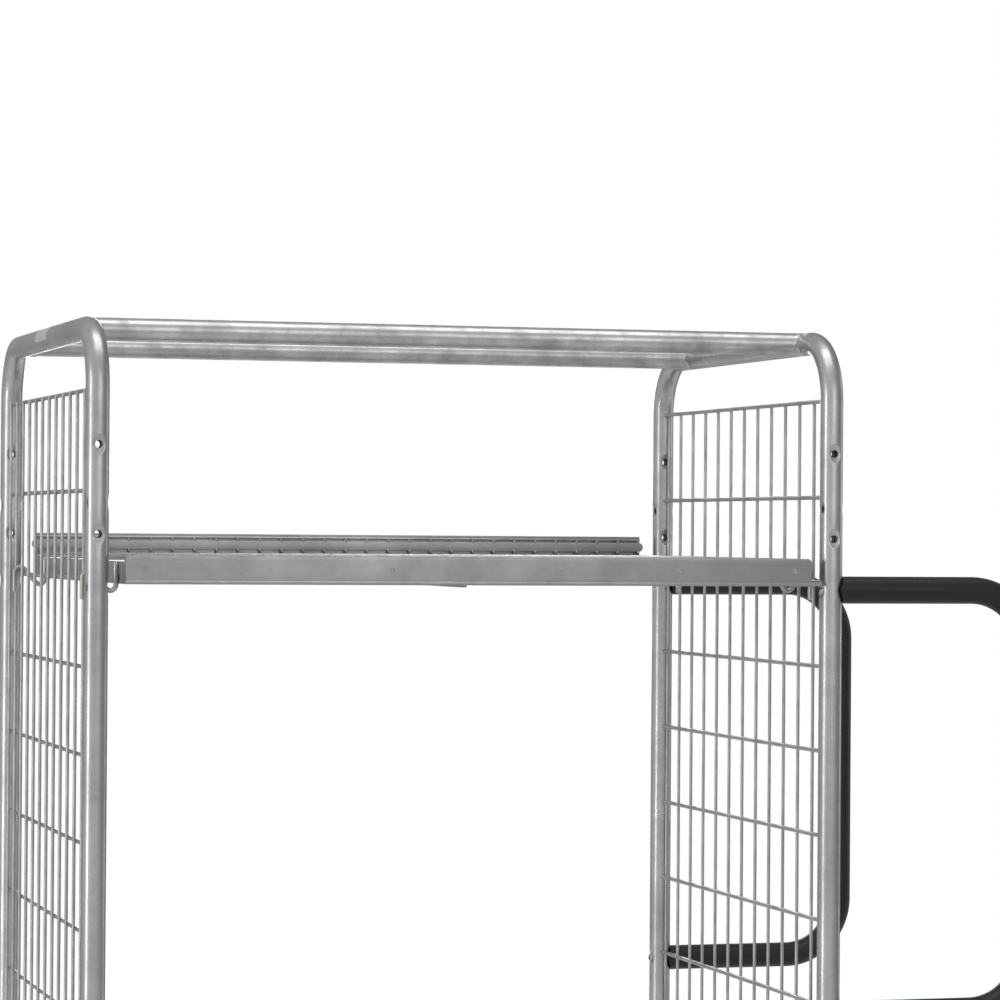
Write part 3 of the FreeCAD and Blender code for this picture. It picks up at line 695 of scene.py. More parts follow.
def handle_bolts(name):
    """Two low button head bolts, each sitting in the dish of its hole, with a hexagon socket."""
    low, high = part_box(name)
    y = (low.y + high.y) / 2
    heads = bmesh.new()
    seat_x = right_x - post_radius + head_sink
    for z in (high.z - head_radius, low.z + head_radius):
        place = Matrix.Translation((seat_x, y, z)) @ Matrix.Rotation(math.radians(-90), 4, "Y")
        dome = [(shank_radius, seat_x - high.x), (shank_radius, 0), (head_radius, 0),
                (head_radius, head_edge)]
        dome += [(head_radius * math.cos(a), head_edge + (head_height - head_edge) * math.sin(a))
                 for a in [math.radians(15 * n) for n in range(1, 5)]]
        dome += [(socket_radius, head_height), (socket_radius * 0.95, head_height * 0.35)]
        lathe(heads, dome, place, steps=48, closed=False)
    make(name + "_button_heads", heads, "plated_fastener", plated, name)


# Powder coat: nearly black, a soft highlight and no mirror.
handle_black = satin_black("black_powder_coat", "#060606", 0.44, grit)
# Electroplated zinc: smoother and a shade warmer than dipped zinc.
plated = galvanised("plated_zinc_fastener", "#c4c4bf", "#9b9b96", 0.22, 0.34, along=0,
                    patch=6.0 * MM)
# Moulded nylon: a shade greyer than the powder coat and more matt.
moulded_black = satin_black("black_nylon", "#151515", 0.5, grit)
for side in ("front", "rear"):
    push_handle("push_handle_" + side)
    handle_bolts("handle_bolts_" + side)
    plugs = frame["nodes"]["handle_plugs_" + side]
    plugs.data.materials.clear()
    plugs.data.materials.append(moulded_black)

# ------------------------------------------------------------
# Shelf rails. The front rail is a flat zinc coated face for labels with a rolled bead along its
# foot. The rear rail stands up behind the wires, and a round ended strip is spot welded in
# front of them. Side profiles and one stiffener on edge tie the two rails.

shelf_sheet = 1.5 * MM
bead_radius = 2.4 * MM
wire_radius = 1.75 * MM
side_inset = 1.5 * MM
ear = 10.0 * MM
ear_rise = 2.0 * MM
face_sink = 1.0 * MM
rear_corner = 1.0 * MM
stiffener_corner = 1.5 * MM
face_corner = 5.0 * MM
edge_ease = 0.35 * MM
dot_radius = 3.2 * MM
dot_height = 0.5 * MM
face_dots = 3
face_dot_inset = 20.0 * MM
face_dot_pitch = 143.0 * MM
strip_thickness = 2.0 * MM
tick_size = 2.8 * MM
tick_sink = 0.4 * MM
shelf_wires = 29
first_wire_inset = 7.5 * MM
last_wire_inset = 3.5 * MM
rail_low, rail_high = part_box("shelf_front_rail")
back_low, back_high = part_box("shelf_rear_rail")
strip_low, strip_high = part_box("shelf_rear_strip")
shelf_left, shelf_right = back_low.x, back_high.x
shelf_top = rail_high.z
face_front = rail_low.y + face_sink
wire_span = shelf_right - last_wire_inset - shelf_left - first_wire_inset
wire_columns = [shelf_left + first_wire_inset + wire_span * n / (shelf_wires - 1)
                for n in range(shelf_wires)]


def plate(bm, outlines, thickness, place, ease=edge_ease):
    """A flat plate with eased edges. The first outline is its edge, any others are its holes."""
    curve = bpy.data.curves.new("plate", "CURVE")
    curve.dimensions = "2D"
    curve.fill_mode = "BOTH"
    curve.extrude = thickness / 2 - ease
    curve.bevel_depth = ease
    curve.bevel_resolution = 1
    curve.offset = -ease
    for outline in outlines:
        spline = curve.splines.new("POLY")
        spline.points.add(len(outline) - 1)
        spline.use_cyclic_u = True
        for point, corner in zip(spline.points, outline):
            point.co = (corner[0], corner[1], 0, 1)
    scrap = bpy.data.objects.new("plate", curve)
    mesh = bpy.data.meshes.new_from_object(scrap)
    mesh.transform(place)
    bm.from_mesh(mesh)
    bmesh.ops.remove_doubles(bm, verts=bm.verts, dist=1e-6)
    bpy.data.objects.remove(scrap)
    bpy.data.curves.remove(curve)
    bpy.data.meshes.remove(mesh)


def upright_plate(y):
    """Places a plate drawn in X and Z with its middle plane at y."""
    return Matrix(((1, 0, 0, 0), (0, 0, -1, y), (0, 1, 0, 0), (0, 0, 0, 1)))


def side_plate(x):
    """Places a plate drawn in Y and Z with its middle plane at x."""
    return Matrix(((0, 0, 1, x), (1, 0, 0, 0), (0, 1, 0, 0), (0, 0, 0, 1)))


def level_plate(z):
    """Places a plate drawn in X and Y with its middle plane at z."""
    return Matrix.Translation((0, 0, z))


def rectangle(x0, x1, y0, y1):
    return [(x0, y0), (x1, y0), (x1, y1), (x0, y1)]


def weld_dot(bm, centre):
    """A spot weld seen from outside: a low ring round a shallow hollow."""
    profile = [(dot_radius * across, dot_height * proud) for across, proud in
               ((1.0, -1.0), (0.8, 0.7), (0.62, 1.0), (0.4, 0.35), (0.1, 0.2))]
    place = Matrix.Translation(centre) @ Matrix.Rotation(math.radians(90), 4, "X")
    lathe(bm, profile, place, steps=20, closed=False)


def front_rail():
    """The label face, the flange under the wires, the bead along the foot and the spot welds."""
    bm = bmesh.new()
    face_foot = rail_low.z + bead_radius
    face = rounded(shelf_left, shelf_right, face_foot, shelf_top, face_corner)
    plate(bm, [face], shelf_sheet, upright_plate(face_front + shelf_sheet / 2))
    flange_z = shelf_top - wire_radius * 2
    plate(bm, [rectangle(shelf_left + side_inset, shelf_right - side_inset, face_front + shelf_sheet / 2,
                         rail_high.y)], shelf_sheet, level_plate(flange_z - shelf_sheet / 2))
    bead_y = rail_low.y + bead_radius
    bar(bm, [(shelf_left, bead_y, face_foot), (rail_high.x, bead_y, face_foot)],
        bead_radius, sides=24, tip=1.0 * MM)
    for n in range(face_dots):
        for x in (shelf_left + face_dot_inset + face_dot_pitch * n,
                  shelf_right - face_dot_inset - face_dot_pitch * n):
            weld_dot(bm, (x, face_front, (face_foot + shelf_top) / 2))
    make("shelf_front_rail_beaded", bm, "galvanised_sheet", shelf_zinc, "shelf_front_rail")


def rear_rail():
    """The upright rail behind the wires, and the strip welded in front of them."""
    bm = bmesh.new()
    back_y = back_high.y - shelf_sheet / 2
    plate(bm, [rounded(shelf_left, shelf_right, back_low.z, back_high.z, rear_corner)], shelf_sheet,
          upright_plate(back_y))
    plate(bm, [rectangle(shelf_left + side_inset, shelf_right - side_inset, back_low.y, back_y)],
          shelf_sheet, level_plate(back_low.z + shelf_sheet / 2))
    make("shelf_rear_rail_folded", bm, "galvanised_sheet", shelf_zinc, "shelf_rear_rail")
    bm = bmesh.new()
    radius = (strip_high.z - strip_low.z) / 2
    outline = rounded(strip_low.x, strip_high.x, strip_low.z, strip_high.z, radius * 0.999, steps=10)
    plate(bm, [outline], strip_thickness, upright_plate((strip_low.y + strip_high.y) / 2))
    for x in wire_columns:
        for z in (strip_low.z - tick_size * 0.3, strip_high.z + tick_size * 0.3):
            lump(bm, (x, strip_low.y + tick_sink, z),
                 tick_size * 0.55, tick_size * 0.45, tick_size)
    make("shelf_rear_strip_welded", bm, "galvanised_sheet", shelf_zinc, "shelf_rear_strip")


def side_profile(name, inward):
    """An end of the shelf: an upright web with an ear at each corner and a foot turned in."""
    low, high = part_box(name)
    web_x = low.x if inward > 0 else high.x
    web = [(low.y, low.z), (high.y, low.z), (high.y, high.z), (high.y - ear, high.z),
           (high.y - ear, high.z - ear_rise), (low.y + ear, high.z - ear_rise), (low.y + ear, high.z),
           (low.y, high.z)]
    bm = bmesh.new()
    plate(bm, [web], shelf_sheet, side_plate(web_x + inward * shelf_sheet / 2))
    foot_x0, foot_x1 = sorted((web_x + inward * shelf_sheet / 2, low.x if inward < 0 else high.x))
    plate(bm, [rectangle(foot_x0, foot_x1, low.y + ear, high.y - ear)], shelf_sheet,
          level_plate(low.z + shelf_sheet / 2))
    make(name + "_folded", bm, "galvanised_sheet", shelf_zinc, name)


# Matt grey zinc with soft cloud: handled sheet keeps no mirror.
shelf_zinc = galvanised("matt_zinc_sheet", "#babbbb", "#9fa0a0", 0.38, 0.54, along=0, patch=55.0 * MM)
front_rail()
rear_rail()
side_profile("shelf_left_side", 1)
side_profile("shelf_right_side", -1)
low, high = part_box("shelf_stiffener")
stiffener = bmesh.new()
plate(stiffener, [rounded(low.y, high.y, low.z, high.z, stiffener_corner)], high.x - low.x,
      side_plate((low.x + high.x) / 2))
make("shelf_stiffener_bar", stiffener, "galvanised_sheet", shelf_zinc, "shelf_stiffener")

# ------------------------------------------------------------
# Shelf mesh. Twenty-nine wires run from front to rear over four cross wires, and turn up before
# the rear rail, where one thin wire along their tips holds them. Every crossing is welded.

shelf_cross_radius = 2.0 * MM
back_wire_radius = 1.5 * MM
shelf_cross_wires = 4
upturn_bend = 6.0 * MM
wire_sink = 0.5 * MM
cross_margin = 18.0 * MM
shelf_tip = 0.7 * MM
back_tip = 0.6 * MM
mesh_low, mesh_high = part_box("shelf_mesh")


def shelf_mesh():
    """The wires, the four cross wires under them, the one along their tips, and the welds."""
    bm = bmesh.new()
    z = shelf_top - wire_radius
    y_up = mesh_high.y - wire_radius
    for x in wire_columns:
        corners = [(x, mesh_low.y, z), (x, y_up, z), (x, y_up, mesh_high.z)]
        bar(bm, route(corners, upturn_bend, step=10), wire_radius, tip=shelf_tip)
    z_cross = z - wire_radius - shelf_cross_radius + wire_sink
    y_first = face_front + cross_margin
    y_last = back_high.y - cross_margin
    for n in range(shelf_cross_wires):
        y = y_first + (y_last - y_first) * n / (shelf_cross_wires - 1)
        bar(bm, [(mesh_low.x, y, z_cross), (mesh_high.x, y, z_cross)],
            shelf_cross_radius, tip=shelf_tip)
        for x in wire_columns:
            lump(bm, (x, y, z - wire_radius),
                 lump_size * 0.7, lump_size * 0.7, lump_size * 0.5)
    y_back = y_up - wire_radius - back_wire_radius + wire_sink
    z_back = mesh_high.z - back_wire_radius
    bar(bm, [(mesh_low.x, y_back, z_back), (mesh_high.x, y_back, z_back)],
        back_wire_radius, tip=back_tip)
    for x in wire_columns:
        lump(bm, (x, y_back, z_back), lump_size * 0.6, lump_size * 0.4, lump_size * 0.5)
    make("shelf_mesh_wires", bm, "galvanised_wire", wire_zinc, "shelf_mesh")


shelf_mesh()

# ------------------------------------------------------------
# Shelf hooks. Four bent rods are welded to the side profiles. Each dips under the shelf, passes
# over a cross wire of the end mesh, and ends in a finger outside it, so the shelf lifts off.

hook_radius = 3.0 * MM
hook_bend = 6.5 * MM
hook_dip = 23.0 * MM
hook_rest_gap = 0.3 * MM
hook_tip = 1.6 * MM
hook_finger = 22.5 * MM
shelf_rise = 27.5 * MM
hook_weld_rise = 6.0 * MM
hook_weld_step = 1.5 * MM
hook_weld_points = 10


def shelf_hook(name, side_node, mesh_node, outward):
    """One bent rod. `outward` is 1 at the right end and -1 at the left."""
    low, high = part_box(name)
    y = (low.y + high.y) / 2
    mesh_lo, mesh_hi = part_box(mesh_node)
    x_wire = mesh_lo.x + cross_radius if outward > 0 else mesh_hi.x - cross_radius
    z_wire = shelf_top - shelf_rise
    finger_x = high.x - hook_radius if outward > 0 else low.x + hook_radius
    leg_x = low.x + hook_radius if outward > 0 else high.x - hook_radius
    reach = abs(leg_x - x_wire)
    clear = hook_radius + cross_radius + hook_rest_gap
    slope = math.atan2(hook_dip, reach) + math.asin(clear / math.hypot(hook_dip, reach))
    z_low = z_wire - hook_dip
    z_high = z_low + abs(finger_x - leg_x) * math.tan(slope)
    leg_top = shelf_top - 2 * wire_radius - 2 * shelf_cross_radius + wire_sink
    corners = [(finger_x, y, z_wire - hook_finger), (finger_x, y, z_high),
               (leg_x, y, z_low), (leg_x, y, leg_top)]
    bm = bmesh.new()
    bar(bm, route(corners, hook_bend, step=8), hook_radius, sides=20, tip=hook_tip)
    side_lo, side_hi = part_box(side_node)
    weld_x = side_hi.x if outward > 0 else side_lo.x
    for offset in (-hook_radius, hook_radius):
        line = [(weld_x, y + offset * 0.9, z_wire + hook_weld_rise + n * hook_weld_step)
                for n in range(hook_weld_points)]
        weld(bm, line, weld_radius * 0.7)
    make(name + "_rod", bm, "galvanised_wire", hook_zinc, name)


# Plated rod: brighter and smoother than the dipped wire it hangs on.
hook_zinc = galvanised("bright_zinc_rod", "#c8c8c6", "#9b9c9c", 0.22, 0.36, along=2, patch=20.0 * MM)
for end in ("front", "rear"):
    shelf_hook("hook_" + end + "_left", "shelf_left_side", "left_end_mesh", -1)
    shelf_hook("hook_" + end + "_right", "shelf_right_side", "right_end_mesh", 1)

# ------------------------------------------------------------
# Castor mounts. A corner pad closes the foot of each post and is welded to it. The castor's top
# plate is bolted under the pad with four hexagon bolts, nuts and washers on top.

plate_hole_radius = 4.5 * MM
plate_hole_x = 80.0 * MM
plate_hole_y = 60.0 * MM
plate_thickness = 4.0 * MM
plate_half_x = 52.5 * MM
plate_half_y = 42.5 * MM
pressed_ease = 0.6 * MM
pad_corner = 6.0 * MM
pad_weld_from = -115
pad_weld_turn = 230
pad_weld_steps = 36
nut_radius = 7.5 * MM
bolt_radius = 4.0 * MM
washer_radius = 8.5 * MM
washer_thickness = 1.2 * MM
bolt_head = 5.5 * MM
nut_height = 6.5 * MM
nut_chamfer = 0.8 * MM
thread_shown = 2.0 * MM
thread_turns = 4
thread_pitch = 0.5 * MM
corners = ("front_left", "rear_left", "front_right", "rear_right")


def hole(x, y, radius, steps=28):
    """A round hole's outline, clockwise."""
    angles = [-math.tau * n / steps for n in range(steps)]
    return [(x + radius * math.cos(a), y + radius * math.sin(a)) for a in angles]


def castor_centre(corner):
    """The middle of a castor's bolt plate, on its top face."""
    name = ("swivel_plate_" if corner.endswith("right") else "fixed_bracket_") + corner
    x, y, z = middle_of(name)
    return x, y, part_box(name)[1].z


def plate_holes(x, y):
    """Where the four bolts of a castor at x and y go."""
    return [(x + side_x * plate_hole_x / 2, y + side_y * plate_hole_y / 2)
            for side_x in (-1, 1) for side_y in (-1, 1)]


def castor_pad(corner):
    """A pad with its four bolt holes and the weld round the outside of the post's foot."""
    x, y, z = castor_centre(corner)
    low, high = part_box("castor_pad_" + corner)
    bm = bmesh.new()
    outlines = [rounded(low.x, high.x, low.y, high.y, pad_corner)]
    outlines += [hole(hx, hy, plate_hole_radius) for hx, hy in plate_holes(x, y)]
    plate(bm, outlines, high.z - low.z, level_plate((low.z + high.z) / 2))
    post_x = left_x if corner.endswith("left") else right_x
    post_y = front_y if corner.startswith("front") else rear_y
    inward = math.atan2(-post_y, (left_x + right_x) / 2 - post_x)
    spread = [inward + math.radians(pad_weld_from + pad_weld_turn * n / pad_weld_steps)
              for n in range(pad_weld_steps + 1)]
    weld(bm, [(post_x + post_radius * math.cos(a), post_y + post_radius * math.sin(a), high.z)
              for a in spread], weld_radius * 1.2)
    make(f"castor_pad_{corner}_plate", bm, "galvanised_sheet", deck_zinc, "castor_pad_" + corner)


def hexagon_bolts():
    """Sixteen bolts with chamfered heads, washers under the nuts and two threads showing."""
    low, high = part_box("castor_bolts")
    up = Vector((0, 0, 1))
    bm = bmesh.new()
    for corner in corners:
        x, y, z = castor_centre(corner)
        for hx, hy in plate_holes(x, y):
            head = Vector((hx, hy, low.z))
            nut = Vector((hx, hy, high.z - nut_height - thread_shown))
            bar(bm, [head, head + up * bolt_head], nut_radius, sides=6, tip=nut_chamfer)
            bar(bm, [head + up * bolt_head / 2, Vector((hx, hy, high.z))], bolt_radius, sides=20,
                tip=0.7 * MM)
            bar(bm, [nut, nut + up * washer_thickness], washer_radius, sides=28, tip=0.3 * MM)
            bar(bm, [nut + up * washer_thickness, nut + up * nut_height], nut_radius, sides=6,
                tip=nut_chamfer)
            for n in range(thread_turns):
                turn = Matrix.Translation(nut + up * (nut_height + n * thread_pitch))
                lathe(bm, [(bolt_radius * 0.9, 0), (bolt_radius * 1.03, 0.2 * MM),
                           (bolt_radius * 0.9, 0.4 * MM)], turn, steps=20)
    make("castor_bolt_set", bm, "plated_fastener", plated, "castor_bolts", sharp=30.0)


for corner in corners:
    castor_pad(corner)
hexagon_bolts()

# ------------------------------------------------------------
# Fixed castors. The two under the left end run straight. Each bracket is pressed from one sheet,
# a bolt plate with two tapered legs folded down that hold the axle.

fork_sheet = 3.0 * MM
eye_radius = 16.0 * MM
axle_radius = 6.0 * MM
bracket_root = 68.0 * MM
fold_radius = 3.5 * MM
z_axle = 62.5 * MM
wheel_half = 16.0 * MM
leg_inner = wheel_half + 2.5 * MM
leg_shoulder = 8.0 * MM
fold_inset = 1.0 * MM
eye_steps = 24


def leg_outline(axle_x, root_x, root_z, root_width, holes):
    """A leg that tapers from its root to a round eye about the axle, waisted between."""
    lean = math.atan2(root_x - axle_x, root_z - z_axle)
    arc = []
    for n in range(eye_steps + 1):
        angle = math.radians(180 + 180 * n / eye_steps) - lean
        arc.append((axle_x + eye_radius * math.cos(angle), z_axle + eye_radius * math.sin(angle)))
    front_x, back_x, shoulder = root_x + root_width / 2, root_x - root_width / 2, root_z - leg_shoulder
    return [arc + [(front_x, shoulder), (front_x, root_z), (back_x, root_z), (back_x, shoulder)]] + holes


def fork_legs(bm, axle_x, y, root_x, root_z, root_width, extra=()):
    """Two legs with the round of the fold along the top of each."""
    for side in (-1, 1):
        middle = y + side * (leg_inner + fork_sheet / 2)
        holes = [hole(axle_x, z_axle, axle_radius)] + [hole(*spot) for spot in extra]
        plate(bm, leg_outline(axle_x, root_x, root_z, root_width, holes), fork_sheet,
              upright_plate(middle), ease=pressed_ease)
        fold = middle + side * (fork_sheet / 2 - fold_radius)
        fold_z = root_z - fold_radius * 0.6
        bar(bm, [(root_x - root_width / 2 + fold_inset, fold, fold_z),
                 (root_x + root_width / 2 - fold_inset, fold, fold_z)],
            fold_radius, sides=20, tip=1.0 * MM)


def castor_plate(bm, x, y, z):
    """The bolt plate, with its top face at z."""
    outlines = [rounded(x - plate_half_x, x + plate_half_x, y - plate_half_y, y + plate_half_y,
                        pad_corner)]
    outlines += [hole(hx, hy, plate_hole_radius) for hx, hy in plate_holes(x, y)]
    plate(bm, outlines, plate_thickness, level_plate(z - plate_thickness / 2), ease=pressed_ease)


# Plated pressings: smoother than dipped work, a satin grey with no crystals to speak of.
castor_zinc = galvanised("zinc_plated_pressing", "#bdbfbe", "#94979a", 0.24, 0.38, along=2,
                         patch=25.0 * MM)
for corner in corners[:2]:
    x, y, z = castor_centre(corner)
    bracket = bmesh.new()
    castor_plate(bracket, x, y, z)
    fork_legs(bracket, x, y, x, z - plate_thickness, bracket_root)
    make(f"fixed_bracket_{corner}_pressing", bracket, "castor_steel", castor_zinc,
         "fixed_bracket_" + corner)

# ------------------------------------------------------------
# Swivel castors. The two under the handles turn on a double ball race. The upper race is part
# of the bolt plate, and the fork hangs from a riveted king pin and trails the swivel axis.

race_radius = 28.0 * MM
fork_root = 62.0 * MM
fork_root_setback = 13.0 * MM
swivel_offset = 38.0 * MM
pedal_pin_radius = 3.0 * MM
pedal_pin_back = 36.0 * MM
pedal_pin_drop = 6.0 * MM
pin_radius = 6.0 * MM
pin_bore = pin_radius + 0.05 * MM
race_bore = 10.0 * MM
crown_back = 44.0 * MM
crown_front = 18.0 * MM
crown_corner = 5.0 * MM
crown_rim = race_radius + 4.0 * MM


def swivel_plate(corner):
    """The bolt plate with the two rings of the ball race under it."""
    x, y, z = castor_centre(corner)
    top = z - plate_thickness
    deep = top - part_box("swivel_plate_" + corner)[0].z
    profile = [(race_bore, 0), (race_radius - 1 * MM, 0), (race_radius, -1 * MM),
               (race_radius, -0.35 * deep), (race_radius - 2 * MM, -0.45 * deep),
               (race_radius - 2 * MM, -0.6 * deep), (race_radius - 0.5 * MM, -0.68 * deep),
               (race_radius - 0.5 * MM, -deep + 1 * MM), (race_radius - 1.5 * MM, -deep),
               (race_bore, -deep)]
    bm = bmesh.new()
    castor_plate(bm, x, y, z)
    lathe(bm, profile, Matrix.Translation((x, y, top)))
    make(f"swivel_plate_{corner}_race", bm, "castor_steel", castor_zinc, "swivel_plate_" + corner)


def king_pin(corner):
    """The pin with its domed rivet head underneath."""
    low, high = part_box("king_pin_" + corner)
    x, y, z = middle_of("king_pin_" + corner)
    wide = (high.x - low.x) / 2
    profile = [(wide * 0.3, 0), (wide * 0.62, 0.3 * MM), (wide * 0.88, 1.4 * MM), (wide, 3 * MM),
               (wide, 4.6 * MM), (wide - 0.4 * MM, 5 * MM), (pin_radius, 5 * MM),
               (pin_radius, high.z - low.z)]
    bm = bmesh.new()
    lathe(bm, profile, Matrix.Translation((x, y, low.z)), steps=48, closed=False)
    make(f"king_pin_{corner}_rivet", bm, "castor_steel", castor_zinc, "king_pin_" + corner)


def swivel_fork(corner):
    """The crown under the race and the two legs that trail behind it."""
    name = "swivel_fork_" + corner
    x, y, z = castor_centre(corner)
    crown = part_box(name)[1].z - fork_sheet
    reach = leg_inner + fork_sheet
    bm = bmesh.new()
    outline = rounded(x - crown_back, x + crown_front, y - reach, y + reach, crown_corner)
    plate(bm, [outline, hole(x, y, pin_bore)], fork_sheet, level_plate(crown + fork_sheet / 2),
          ease=pressed_ease)
    profile = [(pin_bore, 0), (crown_rim - 1.2 * MM, 0), (crown_rim, 0.8 * MM),
               (crown_rim, fork_sheet - 0.6 * MM), (crown_rim - 0.8 * MM, fork_sheet),
               (pin_bore, fork_sheet)]
    lathe(bm, profile, Matrix.Translation((x, y, crown)))
    pin = (x - pedal_pin_back, crown - pedal_pin_drop, pedal_pin_radius)
    fork_legs(bm, x - swivel_offset, y, x - fork_root_setback, crown + fork_sheet, fork_root,
              extra=[pin])
    make(name + "_pressing", bm, "castor_steel", castor_zinc, name)


for corner in corners[2:]:
    swivel_plate(corner)
    king_pin(corner)
    swivel_fork(corner)

# ------------------------------------------------------------
# Wheels. A grey rubber tyre is moulded on a ribbed plastic centre, which turns on a nylon bush
# round a bolted axle. The tyre has a flat tread with two fine grooves and soft shoulders.

tyre_radius = 62.5 * MM
core_radius = 49.0 * MM
hub_radius = 17.0 * MM
bush_bore = 6.05 * MM
bush_radius = 9.05 * MM
tread_groove = 1.2 * MM
groove_aside = 6.0 * MM
shoulder_radius = 6.0 * MM
rim_inset = 2.0 * MM
ribs = 9
rib_half = 1.6 * MM
rib_foot = 2.0 * MM
bush_chamfer = 0.4 * MM
axle_head_radius = 9.8 * MM
axle_head_height = 7.0 * MM


def moulded(name, colour, worn, rough, grain, depth):
    """Rubber or plastic out of a mould: even colour, a fine grain, and dust in soft patches."""
    material, tree, shader = finish_for(name, IOR=1.5)
    place = add(tree, "ShaderNodeTexCoord", {}).outputs["Object"]
    texture = add(tree, "ShaderNodeTexNoise", {"Scale": 1 / grain, "Detail": 3.0}, {"Vector": place})
    dust = add(tree, "ShaderNodeTexNoise", {"Scale": 1 / (22 * MM), "Detail": 4.0}, {"Vector": place})
    amount = add(tree, "ShaderNodeMapRange", {"From Min": 0.42, "From Max": 0.72, "To Max": 0.6},
                 {"Value": dust.outputs["Fac"]})
    shade = add(tree, "ShaderNodeMix", {"data_type": "RGBA", 6: linear(colour), 7: linear(worn)},
                {0: amount.outputs[0]})
    gloss = add(tree, "ShaderNodeMapRange", {"To Min": rough - 0.06, "To Max": rough + 0.08},
                {"Value": dust.outputs["Fac"]})
    bump = add(tree, "ShaderNodeBump", {"Strength": 0.3, "Distance": depth},
               {"Height": texture.outputs["Fac"]})
    coat(tree, shader, shade, gloss, bump)
    return material


def about_axle(x, y):
    """The frame of a wheel: local Z lies along the axle."""
    return Matrix.Translation((x, y, z_axle)) @ Matrix.Rotation(math.radians(-90), 4, "X")


def wheel(corner):
    """The tyre, the ribbed centre, the bush and the axle bolt of one castor."""
    low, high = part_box("tyre_" + corner)
    x, y, z = middle_of("tyre_" + corner)
    place = about_axle(x, y)
    half = (high.y - low.y) / 2
    shoulder = [(tyre_radius - shoulder_radius * (1 - math.sin(a)),
                 half - shoulder_radius * (1 - math.cos(a)))
                for a in [math.radians(15 * n) for n in range(7)]]
    floor = tyre_radius - tread_groove
    grooves = []
    for centre in (groove_aside, -groove_aside):
        grooves += [(tyre_radius, centre + tread_groove), (floor, centre + tread_groove / 2),
                    (floor, centre - tread_groove / 2), (tyre_radius, centre - tread_groove)]
    wall = [(core_radius, half - 1.5 * MM), (core_radius + 2 * MM, half - 0.6 * MM),
            (core_radius + 4 * MM, half)]
    upper = wall + shoulder
    profile = upper + grooves + [(r, -h) for r, h in upper[::-1]]
    tyre = bmesh.new()
    lathe(tyre, profile, place, steps=120)
    make(f"tyre_{corner}_moulded", tyre, "tyre_rubber", rubber, "tyre_" + corner, sharp=35.0)
    centre = bmesh.new()
    rim_half = half - rim_inset
    rim = [(core_radius, -rim_half), (core_radius, rim_half),
           (core_radius - 1 * MM, rim_half + 0.5 * MM), (core_radius - 5 * MM, rim_half),
           (core_radius - 6.5 * MM, 5 * MM), (core_radius - 7 * MM, 3.5 * MM),
           (hub_radius + 2.5 * MM, 3 * MM), (hub_radius + 0.5 * MM, 5 * MM),
           (hub_radius, half - 1 * MM), (hub_radius - 1 * MM, half), (bush_radius, half)]
    profile = rim + [(r, -h) for r, h in rim[:1:-1]]
    lathe(centre, profile, place, steps=96)
    for n in range(ribs):
        turn = place @ Matrix.Rotation(math.tau * n / ribs, 4, "Z")
        for side in (-1, 1):
            inner, outer = hub_radius - 1 * MM, core_radius - 4 * MM
            tall = [(inner, side * rib_foot), (outer, side * rib_foot),
                    (outer, side * (rim_half - 2.5 * MM)), (inner, side * (rim_half - 0.5 * MM))]
            rows = [[turn @ Vector((r, t, h)) for r, h in tall] for t in (-rib_half, rib_half)]
            ends = skin(centre, rows)
            centre.faces.new(ends[0])
            centre.faces.new(ends[-1])
    make(f"wheel_centre_{corner}_ribbed", centre, "wheel_plastic", wheel_grey,
         "wheel_centre_" + corner, sharp=35.0)
    bush_low, bush_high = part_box("bush_" + corner)
    bush_half = (bush_high.y - bush_low.y) / 2
    bush = bmesh.new()
    sleeve = [(bush_bore, -bush_half), (bush_radius - bush_chamfer, -bush_half),
              (bush_radius, -bush_half + bush_chamfer), (bush_radius, bush_half - bush_chamfer),
              (bush_radius - bush_chamfer, bush_half), (bush_bore, bush_half)]
    lathe(bush, sleeve, place, steps=40)
    make(f"bush_{corner}_sleeve", bush, "bush_plastic", bush_white, "bush_" + corner)
    axle_low, axle_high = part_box("axle_" + corner)
    axle = bmesh.new()
    along = Vector((0, 1, 0))
    near = Vector((x, axle_low.y, z_axle))
    far = Vector((x, axle_high.y, z_axle))
    bar(axle, [near, near + along * axle_head_height], axle_head_radius, sides=6, tip=1.0 * MM)
    bar(axle, [near + along * 5 * MM, far - along * 1 * MM], axle_radius, sides=28, tip=0.6 * MM)
    bar(axle, [far - along * axle_head_height, far - along * 1.5 * MM], axle_head_radius, sides=6,
        tip=1.0 * MM)
    make(f"axle_{corner}_bolt", axle, "plated_fastener", plated, "axle_" + corner, sharp=30.0)


# Rubber is the darkest and most matt, with pale dust. The centre is a smoother mid grey, and the
# bush is unpigmented nylon, a warm off-white.
rubber = moulded("grey_wheel_rubber", "#3a3b3d", "#6a6a68", 0.7, 1.1 * MM, 0.12 * MM)
wheel_grey = moulded("grey_polypropylene", "#7d8084", "#94959a", 0.42, 1.4 * MM, 0.05 * MM)
bush_white = moulded("natural_nylon", "#d8d5c8", "#c2bfb2", 0.4, 1.2 * MM, 0.04 * MM)
for corner in corners:
    wheel(corner)

# ------------------------------------------------------------
# Brake pedals. Each swivel castor has a foot pedal on a cross pin through the fork. Stepping on
# the ridged tread presses its shoe on the tyre. It is a plated pressing.

pedal_sheet = 3.0 * MM
pedal_ease = 0.7 * MM
pedal_side_gap = 0.4 * MM
sleeve_radius = 5.5 * MM
sheet_above_pin = 1.0 * MM
arm_length = 36.0 * MM
tread_start = 40.0 * MM
tread_end = 62.0 * MM
tread_half = 20.0 * MM
tread_corner = 4.0 * MM
shoe_near = 14.0 * MM
shoe_far = 30.0 * MM
shoe_half = 12.0 * MM
shoe_corner = 2.0 * MM
shoe_depth = 6.0 * MM
ridge_count = 3
ridge_start = 58.5 * MM
ridge_pitch = 7.0 * MM
ridge_radius = 1.6 * MM
ridge_sink = 0.6 * MM


